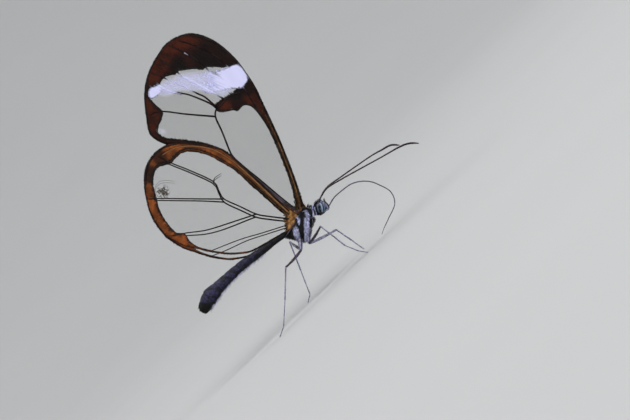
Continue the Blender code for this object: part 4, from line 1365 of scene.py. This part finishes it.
def coat_roots(table, name, low, high, per_mm2):
    """Roots of one coat: their x, turn from the top, places and outward normals."""
    x, turn = spread_over_body(table, low, high, per_mm2)
    places, normals = body_at(table, x, turn)
    kept = np.ones(len(x), bool)
    if name == "nape_tuft":
        kept &= np.cos(turn) > NAPE_SPREAD
    if name == "belly_hair":
        kept &= np.cos(turn) < BELLY_SPREAD
    if name == "brow_tuft":
        kept &= (np.abs(places[:, 1]) < BROW_HALF_WIDTH) & (places[:, 2] > BROW_LOWEST)
    if name in ("head_hair", "face_hair", "brow_tuft"):
        for side in SIDES.values():
            middle = np.array((EYE_CENTRE[0], side * EYE_CENTRE[1], EYE_CENTRE[2]))
            gap = (places - middle) / np.array(EYE_RADII)
            kept &= np.linalg.norm(gap, axis=1) > 1.0
    return x[kept], turn[kept], places[kept], normals[kept]


def nape_spots(x, turn):
    """1 in the two white spots of the nape and 0 away from them."""
    return ramp(-np.abs(x - NAPE_SPOT_X), -0.17, -0.11) * ramp(np.abs(np.sin(turn)), 0.16, 0.28)


def coat_masks(name, x, turn, places):
    """A coat's colours, which vary a little from one hair or scale to the next."""
    count = len(x)
    masks = body_masks(places)
    pale = masks["pale"]
    white = ramp(pale, 1.0, 1.1)
    uneven = 1.0 - 0.6 * (RANDOM.uniform(0.0, 1.0, count) < 0.16)
    pale = np.clip(pale * RANDOM.uniform(0.75, 1.1, count) * uneven, 0.0, 1.0)
    if name == "belly_hair":
        pale = RANDOM.uniform(0.3, 1.0, count) * ramp(x, -18.4, -17.4)
    if name == "brow_tuft":
        pale = pale * 0.1
    if name == "nape_tuft":
        pale = white = nape_spots(x, turn)
    if name == "face_hair":
        pale = np.full(count, 0.85)
    masks["pale"] = pale
    masks["shade"] = np.maximum(RANDOM.uniform(0.0, 1.0, count), 1.6 * white)
    return masks


def make_body_coat(table, materials):
    """Hair on head and thorax, scales on the abdomen, and longer tufts where the real one has them."""
    for name, (low, high), per_mm2, length, width, rise, hang, finish, lie, unrest in COATS:
        x, turn, places, normals = coat_roots(table, name, low, high, per_mm2)
        along = np.tile(np.array(lie, float), (len(x), 1))
        if name == "thorax_hair":
            above = ramp(places[:, 2], 9.6, 10.3)[:, None]
            along = along * (1.0 - above) + np.array((-1.0, 0.0, 0.0)) * above
        along += RANDOM.normal(0.0, unrest, along.shape)
        size = RANDOM.uniform(0.65, 1.25, len(x))
        risen = rise + hang * ramp(-np.cos(turn), 0.2, 0.9)
        if name == "nape_tuft":
            risen = risen * (1.0 - 0.1 * nape_spots(x, turn))
        if name == "tail_tuft":
            ended = ramp(-normals[:, 0], 0.5, 0.9)
            risen = risen + TAIL_END_RISE * ended * ramp(places[:, 2], 9.5, 10.1)
            length = length * (1.0 - 0.8 * ended)
        thick = HAIR_THICK if finish == "hair" else ABDOMEN_SCALE_THICK
        mesh = blades(
            name, places, along, normals, length * size, width * size, thick, risen * size,
            unwrap_body(x, turn),
        )
        masks = coat_masks(name, x, turn, places)
        finish_piece(mesh, materials[finish], (), per_blade(masks))


def make_eyes(materials):
    bands = [(half, strength, smooth(line, 0.1)) for half, strength, line in EYE_HIGHLIGHT_BANDS]
    for side, turn in SIDES.items():
        x, y, z = EYE_CENTRE
        bm = bmesh.new()
        made = bmesh.ops.create_uvsphere(bm, u_segments=48, v_segments=32, radius=1.0)
        matrix = Matrix.Translation((x, turn * y, z)) @ Matrix.Diagonal((*EYE_RADII, 1.0))
        bmesh.ops.transform(bm, matrix=matrix, verts=made["verts"])
        mesh = mesh_of(bm, "eye_" + side + "_ball")
        # The slate share of the eye marks its painted highlight bands.
        blue = share_on_bands(places_of(mesh)[:, (0, 2)], bands, 0.5, 1.3, 0.02)
        finish_piece(mesh, materials["eye"], ("eye_" + side,), {"slate": blue})


# Legs, feelers and mouthparts

def limb_masks(count, pale=0.0, slate=0.3, maroon=0.5, shade=0.5):
    """The same shares all over a limb, or one for each of its points or hairs."""
    given = {"pale": pale, "slate": slate, "maroon": maroon, "shade": shade}
    return {label: np.broadcast_to(value, (count,)) for label, value in given.items()}


def finish_limb(mesh, node, materials, **shares):
    """Finishes the bare limb that stands for one node of the solids."""
    masks = limb_masks(len(mesh.vertices), **shares)
    finish_piece(mesh, materials["leg"], (node,), masks)


def along_line(line, reach, spot):
    """Places on a line at distances along it."""
    return np.stack([np.interp(spot, reach, line[:, k]) for k in range(3)], axis=1)


def spread_over_tube(line, radii, per_mm2):
    """Random roots on a tube: share of its length, place, direction and outward normal."""
    line, radii = np.array(line, float), np.array(radii, float)
    steps = np.linalg.norm(np.diff(line, axis=0), axis=1)
    reach = np.concatenate([[0.0], np.cumsum(steps)])
    around = 2 * math.pi * radii
    count = int(reach[-1] * around.max() * per_mm2)
    spot = RANDOM.uniform(0.0, reach[-1], count)
    spot = spot[RANDOM.uniform(0.0, around.max(), count) < np.interp(spot, reach, around)]
    along = along_line(line, reach, spot + 0.02) - along_line(line, reach, spot - 0.02)
    along /= np.maximum(np.linalg.norm(along, axis=1, keepdims=True), 1e-9)
    out = RANDOM.normal(0.0, 1.0, along.shape)
    out -= along * np.sum(out * along, axis=1, keepdims=True)
    out /= np.linalg.norm(out, axis=1, keepdims=True)
    place = along_line(line, reach, spot) + out * np.interp(spot, reach, radii)[:, None]
    return spot / reach[-1], place, along, out


def coat_tube(name, line, radii, coat, materials, colour):
    """Short hairs on a limb, lying towards its tip. Colour gives a hair's shares."""
    per_mm2, length, width, rise = coat
    found = spread_over_tube(line, radii, per_mm2)
    _, places, along, out = found
    above = places[:, 2] + along[:, 2] * length + out[:, 2] * rise > LOWEST_HAIR
    share, places, along, out = (values[above] for values in found)
    count = len(share)
    along = along + RANDOM.normal(0.0, 0.12, along.shape)
    round_it = np.arctan2(out[:, 1], out[:, 2]) / (2 * math.pi) + 0.5
    unwrapped = 0.01 + 0.98 * np.stack([share, round_it], axis=1)
    size = RANDOM.uniform(0.7, 1.2, count)
    mesh = blades(
        name, places, along, out, length * size, width * size, LIMB_HAIR_THICK, rise * size,
        unwrapped,
    )
    masks = limb_masks(count, shade=RANDOM.uniform(0.0, 1.0, count), **colour(share, out))
    finish_piece(mesh, materials["hair"], (), per_blade(masks))


def hip_line(normals):
    """How much of the black line along a leg's thick first segment shows at each normal."""
    ahead = normals[:, 0]
    return ramp(ahead, -0.05, 0.08) * (1.0 - ramp(ahead, 0.62, 0.74))


def leg_colours(share, out):
    """A leg's hairs: dark, with pale ones under the thick segments and lilac shins."""
    under = ramp(-out[:, 2], 0.1, 0.6) * ramp(-share, -0.42, -0.36)
    under *= 1.0 - hip_line(out) * (share < 0.17)
    return {"pale": np.maximum(0.6 * under, 0.25 * ramp(share, 0.5, 0.55)), "maroon": 0.5}


def palp_colours(share, out):
    """A palp's hairs: pale behind, black in front and at the tip."""
    black = np.maximum(ramp(out[:, 0], -0.35, 0.0), ramp(share, 0.6, 0.72))
    return {"pale": 0.9 * (1.0 - black), "maroon": 0.0, "slate": 0.2}


def dusky_colours(share, out):
    """Hairs of feelers and forelegs: dusky, and a little paler at the root."""
    return {"pale": 0.25 * (share < 0.08), "maroon": 0.55, "slate": 0.1}


def add_claws(bm, ankle, mid, toe):
    """Two claws at the toe and two spurs at the ankle."""
    ahead = (toe - mid).normalized()
    across = ahead.cross((0, 0, 1)).normalized()
    for way in (-1, 1):
        claw = toe + ahead * CLAW_REACH + across * way * CLAW_SPREAD
        claw.z = CLAW_TIP_HEIGHT
        add_segment(bm, toe, claw, CLAW, 6, CLAW_ARCH)
        spur = ankle + (mid - ankle).normalized() * SPUR_REACH + across * way * SPUR_SPREAD
        add_segment(bm, ankle, spur, SPUR, 6)


def make_legs(materials):
    """The four walking legs, each with five joints in its foot."""
    for name, joints in LEGS.items():
        turn = SIDES[name.split("_")[1]]
        body, hip, knee, ankle, mid, toe = (Vector((x, turn * y, z)) for x, y, z in joints)
        foot = [ankle, ankle.lerp(mid, 0.62), mid, mid.lerp(toe, 0.4), mid.lerp(toe, 0.72), toe]
        parts = [(body, hip, COXA, 14), (hip, knee, FEMUR, 12), (knee, ankle, TIBIA, 10)]
        parts += [(start, end, FOOT_JOINT, 8) for start, end in zip(foot, foot[1:])]
        bm = bmesh.new()
        pale = []
        line = []
        radii = []
        for start, end, profile, sides in parts:
            arch = -FEMUR_SAG if profile is FEMUR else 0.0
            line += add_segment(bm, start, end, profile, sides, arch)
            radii += [radius for _, radius in profile]
            pale += [LEG_PALE[profile]] * (len(profile) * sides)
        add_claws(bm, ankle, mid, toe)
        mesh = mesh_of(bm, name + "_limb")
        count = len(mesh.vertices)
        pale = np.concatenate([pale, np.zeros(count - len(pale))])
        normals = np.array([vert.normal for vert in mesh.vertices])
        pale = np.maximum(pale, INNER_PALE * ramp(-turn * normals[:, 1], 0.1, 0.6) * (pale > 0.0))
        hipped = np.arange(count) < len(COXA) * parts[0][3]
        pale *= 1.0 - 0.95 * hipped * hip_line(normals)
        finish_limb(mesh, name, materials, pale=pale, slate=0.5, maroon=0.6)
        coat_tube(name + "_bristles", line, radii, LEG_BRISTLES, materials, leg_colours)


def make_forelegs(materials):
    for side, turn in SIDES.items():
        name = "foreleg_" + side
        line = smooth([(x, turn * y, z) for x, y, z in FORELEG], 0.15)
        radii = np.interp(np.linspace(0.0, 1.0, len(line)), FORELEG_SHARES, FORELEG_RADII)
        mesh = make_tube(name + "_limb", line, radii, 8)
        finish_limb(mesh, name, materials, pale=0.08, maroon=0.7)
        coat_tube(name + "_hairs", line, radii, FORELEG_HAIRS, materials, dusky_colours)


def make_antennae(materials):
    for name, route in ANTENNAE.items():
        line = smooth(route, 0.11)
        share = np.linspace(0.0, 1.0, len(line))
        thick = np.interp(share, ANTENNA_SHARES, ANTENNA_RADII)
        phase = share * ANTENNA_JOINTS % 1.0
        jointed = thick * (1.0 - ANTENNA_JOINT_STEP * (1.0 - ramp(phase, 0.0, 0.25)))
        mesh = make_tube(name + "_feeler", line, jointed, 10)
        finish_limb(mesh, name, materials, slate=0.1, maroon=0.55)
        coat_tube(name + "_scales", line, thick, FEELER_SCALES, materials, dusky_colours)


def make_mouthparts(materials):
    line = smooth(PROBOSCIS, 0.06)
    thick = np.interp(np.linspace(0.0, 1.0, len(line)), PROBOSCIS_SHARES, PROBOSCIS_RADII)
    thick = thick * (1.0 - PROBOSCIS_RING_STEP * (np.arange(len(line)) % 3 == 0))
    mesh = make_tube("proboscis_tube", line, thick, 12, PROBOSCIS_GROOVE)
    finish_limb(mesh, "proboscis", materials, pale=0.12, slate=0.6, maroon=0.7)
    for side, turn in SIDES.items():
        name = "palp_" + side
        line = smooth([(x, turn * y, z) for x, y, z in PALP], 0.1)
        share = np.linspace(0.0, 1.0, len(line))
        thick = np.interp(share, np.linspace(0.0, 1.0, len(PALP_RADII)), PALP_RADII) * PALP_CORE
        mesh = make_tube(name + "_core", line, thick, 12)
        ahead = places_of(mesh)[:, 0]
        finish_limb(mesh, name, materials, pale=0.6 * (1.0 - ramp(ahead, 3.4, 3.55)), maroon=0.0)
        coat_tube(name + "_hair", line, thick, PALP_HAIRS, materials, palp_colours)


def main():
    make_camera()
    make_stage()
    make_lights()
    materials = make_materials()
    for wing in (FOREWING, HINDWING):
        lines = wing_lines(wing)
        for side in SIDES:
            make_wing_sheet(wing, lines, side, materials)
            make_veins(wing, lines, side, materials)
            make_wing_scales(wing, lines, side, materials)
            make_wing_hairs(wing, lines, side, materials)
    table = body_table()
    make_skin(table, materials)
    make_body_coat(table, materials)
    make_eyes(materials)
    make_legs(materials)
    make_forelegs(materials)
    make_antennae(materials)
    make_mouthparts(materials)


main()
